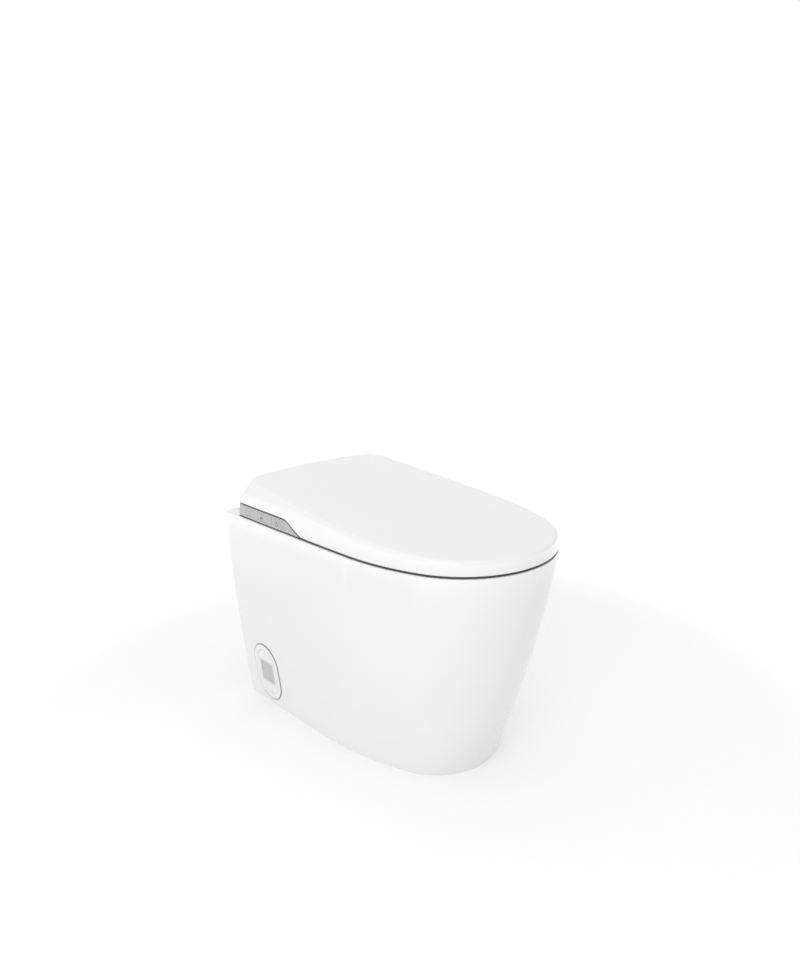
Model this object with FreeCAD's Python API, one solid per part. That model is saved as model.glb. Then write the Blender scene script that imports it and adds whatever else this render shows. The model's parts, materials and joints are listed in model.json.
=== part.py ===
"""One-piece smart toilet: a skirted ceramic pedestal with a heated seat, a full-cover lid and a wash unit.

Axes: X across, +Y to the rear, +Z up. The origin is on the floor under the middle of the pedestal.
Places along the depth are given as s, the distance forward of the pedestal's rear face. Sizes are in mm.
"""
import FreeCAD, Part
import math
import os
from FreeCAD import Placement, Rotation, Vector

# ---- ceramic pedestal -------------------------------------------------------------------
rim_height = 400.0            # floor to the top of the rim
body_length = 660.0           # rear face to the nose of the rim
rim_half_width = 183.0        # at the widest place of the rim
rim_narrowing = 7.0           # the flank draws in by this toward the rear
rim_nose_tuck = 16.0          # the nose's radius is this much less than the half width
nose_length = 260.0           # from the flank's end to the tip
foot_setback = 120.0          # the foot's tip lies this far behind the rim's
foot_half_width = 138.5
foot_narrowing = 6.5
foot_nose_tuck = 25.5
side_bulge = 0.39             # how far the skirt's side stands out from a straight taper
rear_corner = 7.0
rim_edge = 3.0                # rounding of the rim's outer edge
skirt_wall = 12.0
rim_depth = 45.0              # thickness of the solid rim band
bowl_wall = 12.0
bowl_length = 374.0           # opening of the bowl in the rim
bowl_width = 256.0
bowl_front_land = 38.0        # rim left in front of the bowl's opening
sump_length = 92.0
sump_width = 84.0
sump_floor = 76.0             # height of the sump's floor
sump_s = 448.0
bowl_bands = 6
bowl_curve = 1.7              # how late the bowl's sides draw in
trap_bore = 27.0              # radius of the trapway
trap_wall = 13.5
horn_r = 39.0                 # outside radius of the outlet's horn over the floor flange
horn_length = 80.0
outlet_s = 293.0              # centre of the outlet, forward of the rear face
weir_radius = 42.0            # bend of the trapway over the weir
weir_centre_z = 150.0
trap_rise = 50.0              # angle of the trapway's rising leg, degrees
trap_leg = 121.0              # length of the rising leg
trap_bands = 5                # facets of the bend
void_chords = (1, 3, 4, 8)    # straight lengths in a hidden wall's corner, flank, shoulder and nose
bowl_chords = 5               # straight lengths in each arc of the bowl's hidden side
partition_s = 215.0           # front end of the service compartment
partition = 14.0
deck = 16.0                   # thickness of the deck over the compartment
deck_hole_s0 = 72.0
deck_hole_s1 = 205.0
deck_hole_half = 126.0
floor_hole_r = 6.0            # holes for the floor bolts
floor_hole_x = 80.0
floor_hole_s = 160.0
rear_window_half = 90.0       # service window in the rear wall
rear_window_z0 = 70.0
rear_window_z1 = 210.0

# ---- oval service cover on the pedestal's right flank -----------------------------------
cover_s = 85.0
cover_z = 72.0
cover_length = 84.0
cover_height = 121.0
cover_band = 11.0             # width of the bezel's ring
cover_gap = 1.0
cover_recess = 3.0            # depth of the seat that the bezel is let into
cover_proud = 1.2
grille_size = 47.0
grille_pitch = 4.6
grille_hole = 2.5

# ---- wash unit on the deck ---------------------------------------------------------------
unit_lift = 0.3               # seat of the unit on the deck
unit_rear_s = 57.0
unit_front_s = 232.0
unit_inset = 4.0              # the side panels lie this far inside the rim's outline
panel_thickness = 3.0
panel_gap = 1.2               # open joint between the side panels and the rim
panel_top = rim_height + 26.0
panel_top_s = 222.0           # where the panel's top edge turns down
panel_tip_s = 266.0
wing_inner = 146.0
wall = 2.5
floor_plate = 3.0
hump_half = 88.0
cover_top = rim_height + 26.5
key_count = 4
key_s = (96.0, 136.0, 188.0, 207.0)
key_length = (26.0, 26.0, 13.0, 13.0)
key_height = 13.0
key_z = rim_height + 13.5
key_gap = 0.35
key_travel = 1.2
key_stem = 3.2                # the stem behind each key stands out this far
switch_height = 3.4
unit_bolt_r = 4.0
unit_bolt_x = 136.0
unit_bolt_s = 190.0
screw_r = 1.75
screw_x = 120.0
screw_s = (88.0, 185.0)

# ---- hinge -------------------------------------------------------------------------------
hinge_s = 63.0
hinge_z = rim_height + 14.0
pin_r = 4.0
pin_play = 0.05               # running clearance of the knuckles on the pin
knuckle_r = 9.5
knuckle_gap = 0.5
ear = 5.0
seat_knuckle_inner = 103.5
seat_knuckle = 37.5
lid_knuckle = 13.0
pin_x0 = 72.0                 # inner end of the hinge pins

# ---- seat --------------------------------------------------------------------------------
seat_inset = 12.0
seat_bottom = rim_height + 4.0
seat_top = seat_bottom + 17.0
seat_rear_s = 238.0
seat_hole_s0 = seat_rear_s + 37.0
seat_hole_s1 = body_length - 54.0
seat_hole_half = 106.0
seat_skin = 3.0
seat_edge = 7.0
seat_plate = 2.5
bumper_r = 9.0
bumper_gap = 0.3

# ---- lid ---------------------------------------------------------------------------------
lid_bottom = rim_height + 3.0
lid_rear_s = 52.0
lid_skin = 3.5
lid_liner_skin = 2.0
liner_gap = 0.3
liner_edge = rim_height + 30.0    # lower edge of the liner, inside the skirt
crown_rear = rim_height + 90.0    # height of the crown's line, carried back to the rear face
crown_front = rim_height + 28.2   # its height at the nose
lid_crown_radius = 1514.0
lid_panel_gap = 2.0
lid_sections = ((-2.0, 2.6, 14.0), (16.0, 1.0, 14.0), (38.0, 2.9, 18.0), (62.0, 8.8, 28.0),
                (94.0, 23.0, 48.0))    # height over the rim, inset of the skirt, radius of its rear corners

# ---- wash wands --------------------------------------------------------------------------
wand_tilt = 20.0
wand_r = 6.0
wand_x = 12.0
wand_length = 128.0
wand_tip = 20.0
wand_travel = 98.0
wand_play = 0.05
tip_s = 230.0
tip_z = rim_height - 1.1
notch_half = 78.0
notch_drop = 13.0
guide_wall = 3.0
tooth_module = 0.8
pinion_teeth = 15
pinion_width = 3.0
rack_backlash = 0.32
pinion_at = 25.0              # place of the pinions, behind the wands' tips

# ---- blowers -----------------------------------------------------------------------------
blower_s = 128.0
blower_z = rim_height + 31.0
fan_r = 19.0
fan_width = 12.0
fan_blades = 14
fan_gap = 1.2
blower_wall = 1.6
blower_x = 40.0
duct_height = 12.0
shaft_r = 1.5
flap_thickness = 1.4

# ---- services ----------------------------------------------------------------------------
inlet_r = 10.48               # G 1/2 thread, outside radius
inlet_x = -60.0
inlet_z = 115.0
valve_s = 48.0
gland_r = 8.5
gland_x = 50.0
plate_thickness = 2.0
neck_r = 9.0                  # of the inlet nipple behind its thread
bend_steps = 3                # mitred lengths in a hose's bend

os.makedirs("parts", exist_ok=True)
rear_y = body_length / 2
across = Vector(1, 0, 0)
up = Vector(0, 0, 1)
pieces = {}


# ---- building blocks ---------------------------------------------------------------------
def at(s):
    """The Y of a place s mm forward of the rear face."""
    return rear_y - s


def box(x0, x1, s0, s1, z0, z1):
    """A block between two places on each axis."""
    return Part.makeBox(x1 - x0, s1 - s0, z1 - z0, Vector(x0, at(s1), z0))


def rod_x(r, x0, x1, s, z):
    """A round bar along X."""
    return Part.makeCylinder(r, x1 - x0, Vector(x0, at(s), z), across)


def rod_y(r, x, z, s0, s1):
    """A round bar along the depth."""
    return Part.makeCylinder(r, s1 - s0, Vector(x, at(s1), z), Vector(0, 1, 0))


def rod_z(r, x, s, z0, z1):
    """An upright round bar."""
    return Part.makeCylinder(r, z1 - z0, Vector(x, at(s), z0), up)


def hexagon(r, x, s, z0, z1):
    """A hexagonal head or nut about an upright axis, r over its corners."""
    corners = [Vector(x + r * math.cos(turn), at(s) + r * math.sin(turn), z0)
               for turn in (math.pi / 3 * side for side in range(6))]
    return Part.Face(Part.makePolygon(corners + corners[:1])).extrude(up * (z1 - z0))


def side_prism(outline, x0, x1):
    """A profile of (s, z) corners carried along X."""
    corners = [Vector(x0, at(s), z) for s, z in outline]
    face = Part.Face(Part.makePolygon(corners + corners[:1]))
    return face.extrude(Vector(x1 - x0, 0, 0))


def soft_block(x0, x1, s0, s1, z0, z1, r):
    """A block with its upright edges rounded."""
    solid = box(x0, x1, s0, s1, z0, z1)
    upright = [e for e in solid.Edges if abs(e.tangentAt(e.FirstParameter).z) > 0.99]
    return solid.makeFillet(r, upright)


def mirrored(solid):
    """The same piece on the other side."""
    return solid.mirror(Vector(0, 0, 0), across)


def both_sides(solid):
    """A solid and its mirror image in one node."""
    return Part.makeCompound([solid, mirrored(solid)])


def tube_along(points, bends, r):
    """A round bar along straight runs, with a bend of a few mitred lengths on a tangent arc at each corner."""
    start = points[0]
    lengths = []
    for corner, after, bend in zip(points[1:-1], points[2:], bends):
        back = (start - corner).normalize()
        ahead = (after - corner).normalize()
        half = back.getAngle(ahead) / 2
        begin = corner + back * (bend / math.tan(half))
        centre = corner + (back + ahead).normalize() * (bend / math.sin(half))
        arm = begin - centre
        axis = ahead.cross(back)
        rings = []
        for step in range(bend_steps + 1):
            turn = Rotation(axis, (180 - math.degrees(2 * half)) * step / bend_steps)
            rings.append(Part.Wire(Part.makeCircle(r, centre + turn.multVec(arm), turn.multVec(back))))
        lengths += [Part.makeCylinder(r, (begin - start).Length, start, begin - start), Part.makeLoft(rings, True, True)]
        start = corner + ahead * (bend / math.tan(half))
    last = Part.makeCylinder(r, (points[-1] - start).Length, start, points[-1] - start)
    return last.fuse(lengths)


def bow(x, s, r, begin, end, z, chords=0):
    """A level arc about (x, s) from one angle to another, as one true arc or as a number of chords."""
    count = chords or 2
    turns = [begin + (end - begin) * step / count for step in range(count + 1)]
    spots = [Vector(x + r * math.cos(turn), at(s + r * math.sin(turn)), z) for turn in turns]
    if chords:
        return [Part.LineSegment(here, there).toShape() for here, there in zip(spots, spots[1:])]
    return [Part.Arc(*spots).toShape()]


class Plan:
    """A plan outline of tangent arcs: straight rear, rounded corners, long flanks, shoulders and a nose."""

    def __init__(self, rear_s, length, half, narrowing, nose_tuck, corner):
        self.rear_s = rear_s
        self.length = length
        self.half = half
        self.narrowing = narrowing
        self.nose_tuck = nose_tuck
        self.corner = corner

    def toward(self, other, share):
        """The outline that lies a share of the way from this one to another."""
        mine = vars(self)
        theirs = vars(other)
        return Plan(**{key: mine[key] + (theirs[key] - mine[key]) * share for key in mine})

    def flank_end(self):
        """Where the flank ends and the shoulder begins."""
        return self.length - nose_length

    def flank_radius(self):
        """Radius of the flank's long arc, which runs straight forward where the shoulder begins."""
        return (self.flank_end() ** 2 + self.narrowing ** 2) / (2 * self.narrowing)

    def half_width(self, s):
        """Half of the width on the flank."""
        radius = self.flank_radius()
        return self.half - radius + math.sqrt(radius ** 2 - (self.flank_end() - s) ** 2)

    def shoulder_radius(self):
        """Radius of the arc that is tangent to the flank's end and to the nose."""
        spare = nose_length ** 2 + self.half ** 2 - 2 * nose_length * (self.half - self.nose_tuck)
        return spare / (2 * self.nose_tuck)

    def wire(self, z, inset=0.0, chords=(0, 0, 0, 0)):
        """The closed outline at height z, an exact offset drawn in by inset."""
        flank_s = self.flank_end()
        flank_r = self.flank_radius() - inset
        flank_x = self.half - self.flank_radius()
        corner = max(self.corner - inset, 1.0)
        corner_s = self.rear_s + inset + corner
        corner_x = flank_x + math.sqrt((flank_r - corner) ** 2 - (flank_s - corner_s) ** 2)
        shoulder_x = self.half - self.shoulder_radius()
        nose_r = self.half - self.nose_tuck
        nose_s = self.length - nose_r
        flank_turn = math.atan2(corner_s - flank_s, corner_x - flank_x)
        nose_turn = math.atan2(nose_s - flank_s, -shoulder_x)
        arcs = ((corner_x, corner_s, corner, -math.pi / 2, flank_turn),
                (flank_x, flank_s, flank_r, flank_turn, 0.0),
                (shoulder_x, flank_s, self.shoulder_radius() - inset, 0.0, nose_turn))
        edges = [Part.LineSegment(Vector(-corner_x, at(self.rear_s + inset), z),
                                  Vector(corner_x, at(self.rear_s + inset), z)).toShape()]
        for (x, s, r, begin, end), count in zip(arcs, chords):
            edges += bow(x, s, r, begin, end, z, count)
        edges += bow(0.0, nose_s, nose_r - inset, nose_turn, math.pi - nose_turn, z, chords[3])
        for (x, s, r, begin, end), count in reversed(list(zip(arcs, chords))):
            edges += bow(-x, s, r, math.pi - end, math.pi - begin, z, count)
        return Part.Wire(edges)


rim_plan = Plan(0.0, body_length, rim_half_width, rim_narrowing, rim_nose_tuck, rear_corner)
foot_plan = Plan(0.0, body_length - foot_setback, foot_half_width, foot_narrowing, foot_nose_tuck, rear_corner)
lid_plan = Plan(lid_rear_s, body_length, rim_half_width, rim_narrowing, rim_nose_tuck, rear_corner)


def skirt_plan(z):
    """The pedestal's outline at height z: a taper whose side bulges as a parabola."""
    t = z / rim_height
    return foot_plan.toward(rim_plan, t + side_bulge * t * (1 - t))


def skirt_form(inset, z0, z1, bands, edge=0.0, chords=(0, 0, 0, 0)):
    """The pedestal's form between two heights, drawn in by inset, its upper edge eased by edge."""
    levels = [z0 + (z1 - edge - z0) * band / bands for band in range(bands + 1)]
    wires = [skirt_plan(z).wire(z, inset, chords) for z in levels]
    if edge > 0:
        for turn in (math.pi / 4, math.pi / 2):
            z = z1 - edge + edge * math.sin(turn)
            wires.append(skirt_plan(z).wire(z, inset + edge * (1 - math.cos(turn)), chords))
    return Part.makeLoft(wires, True, True)


def rim_prism(inset, z0, z1):
    """An upright prism on the rim's outline."""
    wire = rim_plan.wire(z0, inset)
    return Part.Face(wire).extrude(up * (z1 - z0))


def oval_wire(s, half_length, half_width, z, chords=0):
    """A level oval of four tangent arcs with its long axis along the depth."""
    end_r = half_width * (0.5 + 0.5 * half_width / half_length)
    reach = half_length - end_r
    spare = 2 * half_length * end_r - half_length ** 2 - half_width ** 2
    side_r = spare / (2 * (end_r - half_width))
    side_x = half_width - side_r
    turn = math.atan2(reach, -side_x)
    return Part.Wire(bow(side_x, s, side_r, -turn, turn, z, chords)
                     + bow(0.0, s + reach, end_r, turn, math.pi - turn, z, chords)
                     + bow(-side_x, s, side_r, math.pi - turn, math.pi + turn, z, chords)
                     + bow(0.0, s - reach, end_r, math.pi + turn, 2 * math.pi - turn, z, chords))


def wing_outline(grow=0.0):
    """The side panel's profile: level top, then a diagonal down to the rim."""
    lean = (panel_tip_s - panel_top_s) / (panel_top - rim_height)
    shift = grow * math.hypot(1, lean)
    base = rim_height - 2.0
    return [(unit_rear_s, base), (unit_rear_s, panel_top + grow),
            (panel_top_s + shift - grow * lean, panel_top + grow),
            (panel_tip_s + shift + (rim_height - base) * lean, base)]


# ---- ceramic pedestal -------------------------------------------------------------------
def bowl_form(grow, chords=0):
    """The bowl as stacked ovals, from the opening in the rim down to the sump, grown by a wall's thickness."""
    opening = (rim_height, body_length - bowl_front_land - bowl_length / 2, bowl_length / 2, bowl_width / 2)
    sump = (sump_floor, sump_s, sump_length / 2, sump_width / 2)
    sections = []
    for step in range(bowl_bands + 1):
        drop = step / bowl_bands
        share = drop ** bowl_curve
        s, long_half, wide_half = (a + (b - a) * share for a, b in zip(opening[1:], sump[1:]))
        z = opening[0] + (sump[0] - opening[0]) * drop
        z += grow if step == 0 else -grow * drop
        sections.append(oval_wire(s, long_half + grow, wide_half + grow, z, chords))
    return Part.makeLoft(sections, True, True)


def trap_form(r, extra_start, low):
    """The trapway: a rising leg, a bend over the weir and a falling leg down to the height low."""
    turn = math.radians(trap_rise)
    centre = Vector(0, at(outlet_s + weir_radius), weir_centre_z)
    rings = []
    for step in range(trap_bands + 1):
        angle = (math.pi / 2 + turn) * step / trap_bands - turn
        out = Vector(0, math.sin(angle), math.cos(angle))
        along = Vector(0, math.cos(angle), -math.sin(angle))
        rings.append(Part.Wire(Part.makeCircle(r, centre + out * weir_radius, along)))
    first = Vector(0, math.cos(turn), math.sin(turn))
    join = centre + Vector(0, -math.sin(turn), math.cos(turn)) * weir_radius
    leg = trap_leg + extra_start
    rising = Part.makeCylinder(r, leg, join - first * leg, first)
    falling = rod_z(r, 0.0, outlet_s, low, weir_centre_z)
    bend = Part.makeLoft(rings, True, True)
    return rising.fuse([bend, falling])


def flank_frame(s, z):
    """The frame on the right flank at (s, z): X forward, Y up the slope and Z out of the wall."""
    step = 1.0
    here = skirt_plan(z)
    x = -here.half_width(s)
    rise = (skirt_plan(z + step).half_width(s) - skirt_plan(z - step).half_width(s)) / (2 * step)
    swell = (here.half_width(s + step) - here.half_width(s - step)) / (2 * step)
    forward = Vector(-swell, -1, 0).normalize()
    slope = Vector(-rise, 0, 1).normalize()
    outward = forward.cross(slope).normalize()
    return Placement(Vector(x, at(s), z), Rotation(forward, outward.cross(forward), outward, "ZXY"))


def pill(length, height, z0, z1):
    """An upright obround prism, round at the top and the bottom, in the frame of the flank."""
    r = length / 2
    straight = height / 2 - r
    right = Part.LineSegment(Vector(r, -straight, z0), Vector(r, straight, z0))
    top = Part.Arc(Vector(r, straight, z0), Vector(0, straight + r, z0), Vector(-r, straight, z0))
    left = Part.LineSegment(Vector(-r, straight, z0), Vector(-r, -straight, z0))
    low = Part.Arc(Vector(-r, -straight, z0), Vector(0, -straight - r, z0), Vector(r, -straight, z0))
    wire = Part.Wire([right.toShape(), top.toShape(), left.toShape(), low.toShape()])
    return Part.Face(wire).extrude(up * (z1 - z0))


def on_flank(solid):
    """The solid carried from its own frame to the service cover's place on the flank."""
    solid.Placement = flank_frame(cover_s, cover_z)
    return solid


def wand_axis_z(s):
    """Height of the wands' axes at a place s."""
    return tip_z - (s - tip_s) * math.tan(math.radians(wand_tilt))


def ceramic_body():
    """The fired body: skirt, rim, bowl, trapway and the closed compartment behind them."""
    outer = skirt_form(0.0, 0.0, rim_height, 4, rim_edge)
    inner = skirt_form(skirt_wall, -1.0, rim_height - deck, 2, 0.0, void_chords)
    front_void = inner.common(box(-rim_half_width, rim_half_width, partition_s + partition, body_length,
                                  -2.0, rim_height - rim_depth))
    trap_shell = trap_form(trap_bore + trap_wall, trap_wall, horn_length)
    horn = rod_z(horn_r, 0.0, outlet_s, -2.0, horn_length + 1)
    front_void = front_void.cut(bowl_form(bowl_wall, bowl_chords)).cut(trap_shell).cut(horn)
    compartment = inner.common(box(-rim_half_width, rim_half_width, skirt_wall, partition_s, skirt_wall,
                                   rim_height - deck))
    deck_hole = soft_block(-deck_hole_half, deck_hole_half, deck_hole_s0, deck_hole_s1,
                           rim_height - deck - 1, rim_height + 1, 12.0)
    notch_end = outlet_s
    notch = side_prism([(deck_hole_s1 - 1, wand_axis_z(deck_hole_s1 - 1) - notch_drop),
                        (deck_hole_s1 - 1, rim_height + 1), (notch_end, rim_height + 1),
                        (notch_end, wand_axis_z(notch_end) - notch_drop)], -notch_half, notch_half)
    rear_window = soft_block(-rear_window_half, rear_window_half, -1.0, skirt_wall + 1, 0.0,
                             rear_window_z1 - rear_window_z0, 1.0)
    rear_window.translate(up * rear_window_z0)
    cover_seat = on_flank(pill(cover_length + 2 * cover_gap, cover_height + 2 * cover_gap, -cover_recess, 20.0))
    access = on_flank(pill(cover_length - 2 * cover_band, cover_height - 2 * cover_band, -40.0, 20.0))
    holes = both_sides(rod_z(floor_hole_r, floor_hole_x, floor_hole_s, -1.0, skirt_wall + 1))
    unit_holes = both_sides(rod_z(unit_bolt_r + 1, unit_bolt_x, unit_bolt_s, rim_height - deck - 1,
                                  rim_height + 1))
    solid = outer
    for hollow in (front_void, compartment, bowl_form(0.0), trap_form(trap_bore, 0.0, -3.0), deck_hole, notch,
                   rear_window, cover_seat, access, holes, unit_holes):
        solid = solid.cut(hollow)
    return solid


# ---- service cover ----------------------------------------------------------------------
def service_cover():
    """The bezel ring, the door in it and the grille in the door."""
    inner_length = cover_length - 2 * cover_band
    inner_height = cover_height - 2 * cover_band
    back = bumper_gap - cover_recess
    bezel = pill(cover_length, cover_height, back, cover_proud)
    bezel = bezel.cut(pill(inner_length, inner_height, back - 1, cover_proud + 1))
    rim = [e for e in bezel.Edges if e.BoundBox.ZMin > cover_proud - 0.01]
    bezel = bezel.makeChamfer(0.8, rim)
    door = pill(inner_length - 0.6, inner_height - 0.6, back - 1.5, cover_proud - 1.0)
    front = [e for e in door.Edges if e.BoundBox.ZMin > cover_proud - 1.01]
    door = door.makeChamfer(0.6, front)
    half = grille_size / 2
    recess = Part.makeBox(grille_size + 0.6, grille_size + 0.6, 2.0,
                          Vector(-half - 0.3, -half - 0.3, cover_proud - 2.4))
    window = Part.makeBox(grille_size - 6, grille_size - 6, 12.0, Vector(3 - half, 3 - half, -8.0))
    notch = Part.makeCylinder(5.0, 3.0, Vector(7.0, 2.0 - inner_height / 2, cover_proud - 2.6))
    door = door.cut(recess).cut(window).cut(notch)
    grille = Part.makeBox(grille_size, grille_size, 1.2, Vector(-half, -half, cover_proud - 2.1))
    holes = []
    count = int((grille_size - 8) / grille_pitch)
    for row in range(count + 1):
        for column in range(count + 1):
            x = (column - count / 2) * grille_pitch
            y = (row - count / 2) * grille_pitch
            peg = Part.makeBox(grille_hole, grille_hole, 3.0, Vector(-grille_hole / 2, -grille_hole / 2, 0))
            peg.rotate(Vector(0, 0, 0), up, 45)
            peg.translate(Vector(x, y, cover_proud - 3.0))
            holes.append(peg)
    grille = grille.cut(Part.makeCompound(holes))
    return on_flank(bezel), on_flank(door), on_flank(grille)


# ---- wash unit --------------------------------------------------------------------------
def wing_layer(inset, depth, side, grow=0.0):
    """A sheet that follows the rim's outline and has the side panel's profile."""
    sheet = rim_prism(inset, rim_height, panel_top + 1).cut(rim_prism(inset + depth, rim_height - 1,
                                                                     panel_top + 2))
    x0, x1 = (0.0, rim_half_width) if side > 0 else (-rim_half_width, 0.0)
    return sheet.common(side_prism(wing_outline(grow), x0, x1)).common(
        box(x0, x1, 0.0, body_length, rim_height + panel_gap, panel_top + grow + 1))


def key_window(index, gap):
    """The block that cuts a key, or with a gap its window, out of the panel."""
    half = key_length[index] / 2 + gap
    high = key_height / 2 + gap
    return box(-rim_half_width, -wing_inner, key_s[index] - half, key_s[index] + half, key_z - high,
               key_z + high)


def unit_base():
    """The tray that carries the unit, with its hollow side wings and the ears of the hinge."""
    low = rim_height + unit_lift
    side_inset = unit_inset + panel_thickness + unit_lift
    plate = rim_prism(side_inset, low, low + floor_plate).common(
        box(-rim_half_width, rim_half_width, unit_rear_s, unit_front_s, low, low + floor_plate))
    outer = rim_prism(side_inset, low, panel_top).common(side_prism(wing_outline(), -rim_half_width,
                                                                  rim_half_width))
    inner = rim_prism(side_inset + wall, low - 1, panel_top - wall).common(
        side_prism(wing_outline(-wall), -rim_half_width, rim_half_width))
    inner = inner.cut(box(-wing_inner - wall, wing_inner + wall, 0.0, body_length, low - 2, panel_top))
    bay_s = hinge_s + knuckle_r + 3.5
    inner = inner.common(box(-rim_half_width, rim_half_width, bay_s + wall, body_length, low, panel_top))
    wings = outer.cut(box(-wing_inner, wing_inner, 0.0, body_length, low - 1, panel_top + 1)).cut(inner)
    lid_outer = lid_knuckle_inner() + lid_knuckle
    bays = box(-lid_outer - knuckle_gap, lid_outer + knuckle_gap, 0.0, bay_s, low + floor_plate,
               panel_top + 1)
    wings = wings.cut(bays)
    solid = plate.fuse(wings)
    for x0 in (seat_knuckle_inner - knuckle_gap - ear, seat_knuckle_inner + seat_knuckle + knuckle_gap):
        lug = side_prism([(unit_rear_s - 2, low), (unit_rear_s - 2, hinge_z), (hinge_s - 8, hinge_z + 6),
                          (hinge_s + 8, hinge_z + 6), (bay_s - 1, low + floor_plate), (bay_s - 1, low)],
                         x0, x0 + ear)
        solid = solid.fuse(lug).fuse(mirrored(lug))
    path = box(-notch_half + 6, notch_half - 6, unit_front_s - 52, unit_front_s + 1, low - 1,
               low + floor_plate + 1)
    hose_hole = rod_z(9.0, -70.0, 150.0, low - 1, low + floor_plate + 1)
    windows = [key_window(index, 1.0) for index in range(key_count)]
    pins = both_sides(rod_x(pin_r + 0.02, pin_x0 - 1, pin_x1 + 0.3, hinge_s, hinge_z))
    bolts = both_sides(rod_z(unit_bolt_r + 0.3, unit_bolt_x, unit_bolt_s, low - 1, low + floor_plate + 1))
    screws = Part.makeCompound([rod_z(screw_r + 0.3, x, s, low - 1, low + floor_plate + 1)
                                for x in (-screw_x, screw_x) for s in screw_s])
    for hollow in [path, hose_hole, pins, bolts, screws] + windows:
        solid = solid.cut(hollow)
    return solid


def lid_knuckle_inner():
    """Inner end of the lid's knuckle, past the second ear."""
    return seat_knuckle_inner + seat_knuckle + ear + 2 * knuckle_gap


pin_x1 = lid_knuckle_inner() + lid_knuckle + knuckle_gap + ear


def crown_body(drop, x_half, s0, s1, z0):
    """Everything under the lid's crowned, forward-sloping top, lowered by drop: part of a large cylinder."""
    slope = (crown_rear - crown_front) / body_length
    lean = math.atan(slope)
    axis = Vector(0, -math.cos(lean), -math.sin(lean))
    start = Vector(0, at(s0), crown_rear - drop - slope * s0 - lid_crown_radius / math.cos(lean))
    spare = lid_crown_radius * math.sin(lean) + 50
    length = (s1 - s0) / math.cos(lean) + 2 * spare
    barrel = Part.makeCylinder(lid_crown_radius, length, start - axis * spare, axis)
    return barrel.common(box(-x_half, x_half, s0, s1, z0, crown_rear + 20))


def crown_z(x, s):
    """Height of the lid's crowned top over a place."""
    return crown_rear - (crown_rear - crown_front) / body_length * s - x * x / (2 * lid_crown_radius)


def unit_cover():
    """The unit's top shell: a low deck under the seat's arms and a crowned hump over the works."""
    low = rim_height + unit_lift + floor_plate + unit_lift
    main_half = wing_inner - unit_lift
    bay_s = hinge_s + knuckle_r + 3.5
    centre_half = seat_knuckle_inner - knuckle_gap - ear - unit_lift
    deck_outer = box(-main_half, main_half, bay_s, unit_front_s, low, cover_top)
    deck_outer = deck_outer.fuse(box(-centre_half, centre_half, unit_rear_s, bay_s + 1, low, cover_top))
    deck_inner = box(-main_half + wall, main_half - wall, bay_s + wall, unit_front_s - wall, low - 1,
                     cover_top - wall)
    deck_inner = deck_inner.fuse(box(-centre_half + wall, centre_half - wall, unit_rear_s + wall,
                                     bay_s + wall + 1, low - 1, cover_top - wall))
    hump_outer = hump(0.0)
    crest = [e for e in hump_outer.Edges if e.BoundBox.ZMax > cover_top + 8 and e.BoundBox.ZMin > cover_top - 8]
    hump_outer = hump_outer.makeChamfer(5.0, crest)
    solid = deck_outer.fuse(hump_outer).cut(deck_inner).cut(hump(wall))
    mouth = box(-notch_half + 6, notch_half - 6, unit_front_s - wall - 1, unit_front_s + 1, low - 1, rim_height + 12)
    pin_slot = box(centre_half - wall - 1, centre_half + 1, hinge_s - pin_r - 0.4, hinge_s + pin_r + 0.4,
                   low - 1, hinge_z + pin_r + 0.4)
    pin_slot = pin_slot.fuse(rod_x(pin_r + 0.4, pin_x0 - 1, centre_half, hinge_s, hinge_z))
    solid = solid.cut(mouth).cut(pin_slot).cut(mirrored(pin_slot))
    for x in (-screw_x, screw_x):
        for s in screw_s:
            boss = rod_z(screw_r + 2.5, x, s, low, cover_top - wall)
            solid = solid.fuse(boss).cut(rod_z(screw_r + 0.05, x, s, low - 1, low + 12))
    return solid


def hump(inside):
    """The hump's form, drawn in by a wall's thickness."""
    half = hump_half - inside
    profile = side_prism([(unit_rear_s + 10 + inside, cover_top - 4), (unit_rear_s + 18 + inside, crown_rear),
                          (unit_front_s - 22 - inside, crown_rear), (unit_front_s - 1 - inside, cover_top - 4)],
                         -half, half)
    return profile.common(crown_body(12.0 + inside, lid_plan.half, 0.0, unit_front_s + 20, rim_height))


def side_panels():
    """The grey control panel on the right and the plain one on the left, with the panel's keys."""
    right = wing_layer(unit_inset, panel_thickness, -1)
    left = wing_layer(unit_inset, panel_thickness, 1)
    keys = []
    for index in range(key_count):
        key = right.common(key_window(index, 0.0))
        stem_x = -lid_plan.half_width(key_s[index]) + unit_inset + panel_thickness
        stem = box(stem_x - 1.0, stem_x + key_stem, key_s[index] - 2.2, key_s[index] + 2.2, key_z - 2.2, key_z + 2.2)
        keys.append(key.fuse(stem).removeSplitter())
    for index in range(key_count):
        right = right.cut(key_window(index, key_gap))
    groove_s = 171.0
    groove = box(-rim_half_width, -rim_half_width + 8.2, groove_s - 0.5, groove_s + 0.5, key_z - 8, key_z + 8)
    return right.cut(groove), left, keys


def key_board():
    """The switch board behind the panel, with a square push switch under each key."""
    stems = [-lid_plan.half_width(s) + unit_inset + panel_thickness + key_stem for s in key_s]
    x = max(stems) + key_travel + 0.3 + switch_height
    low = rim_height + 2 * unit_lift + floor_plate
    board = box(x, x + 1.6, key_s[0] - 14, key_s[-1] + 8, low, key_z + 8)
    for s, stem_end in zip(key_s, stems):
        board = board.fuse(box(stem_end + key_travel + 0.3, x + 0.2, s - 3.0, s + 3.0, key_z - 3.0, key_z + 3.0))
    return board


# ---- hinge ------------------------------------------------------------------------------
def hinge_pins():
    """The two steel pins, each through both ears, the seat's knuckle and the lid's."""
    return both_sides(rod_x(pin_r, pin_x0, pin_x1, hinge_s, hinge_z))


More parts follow.
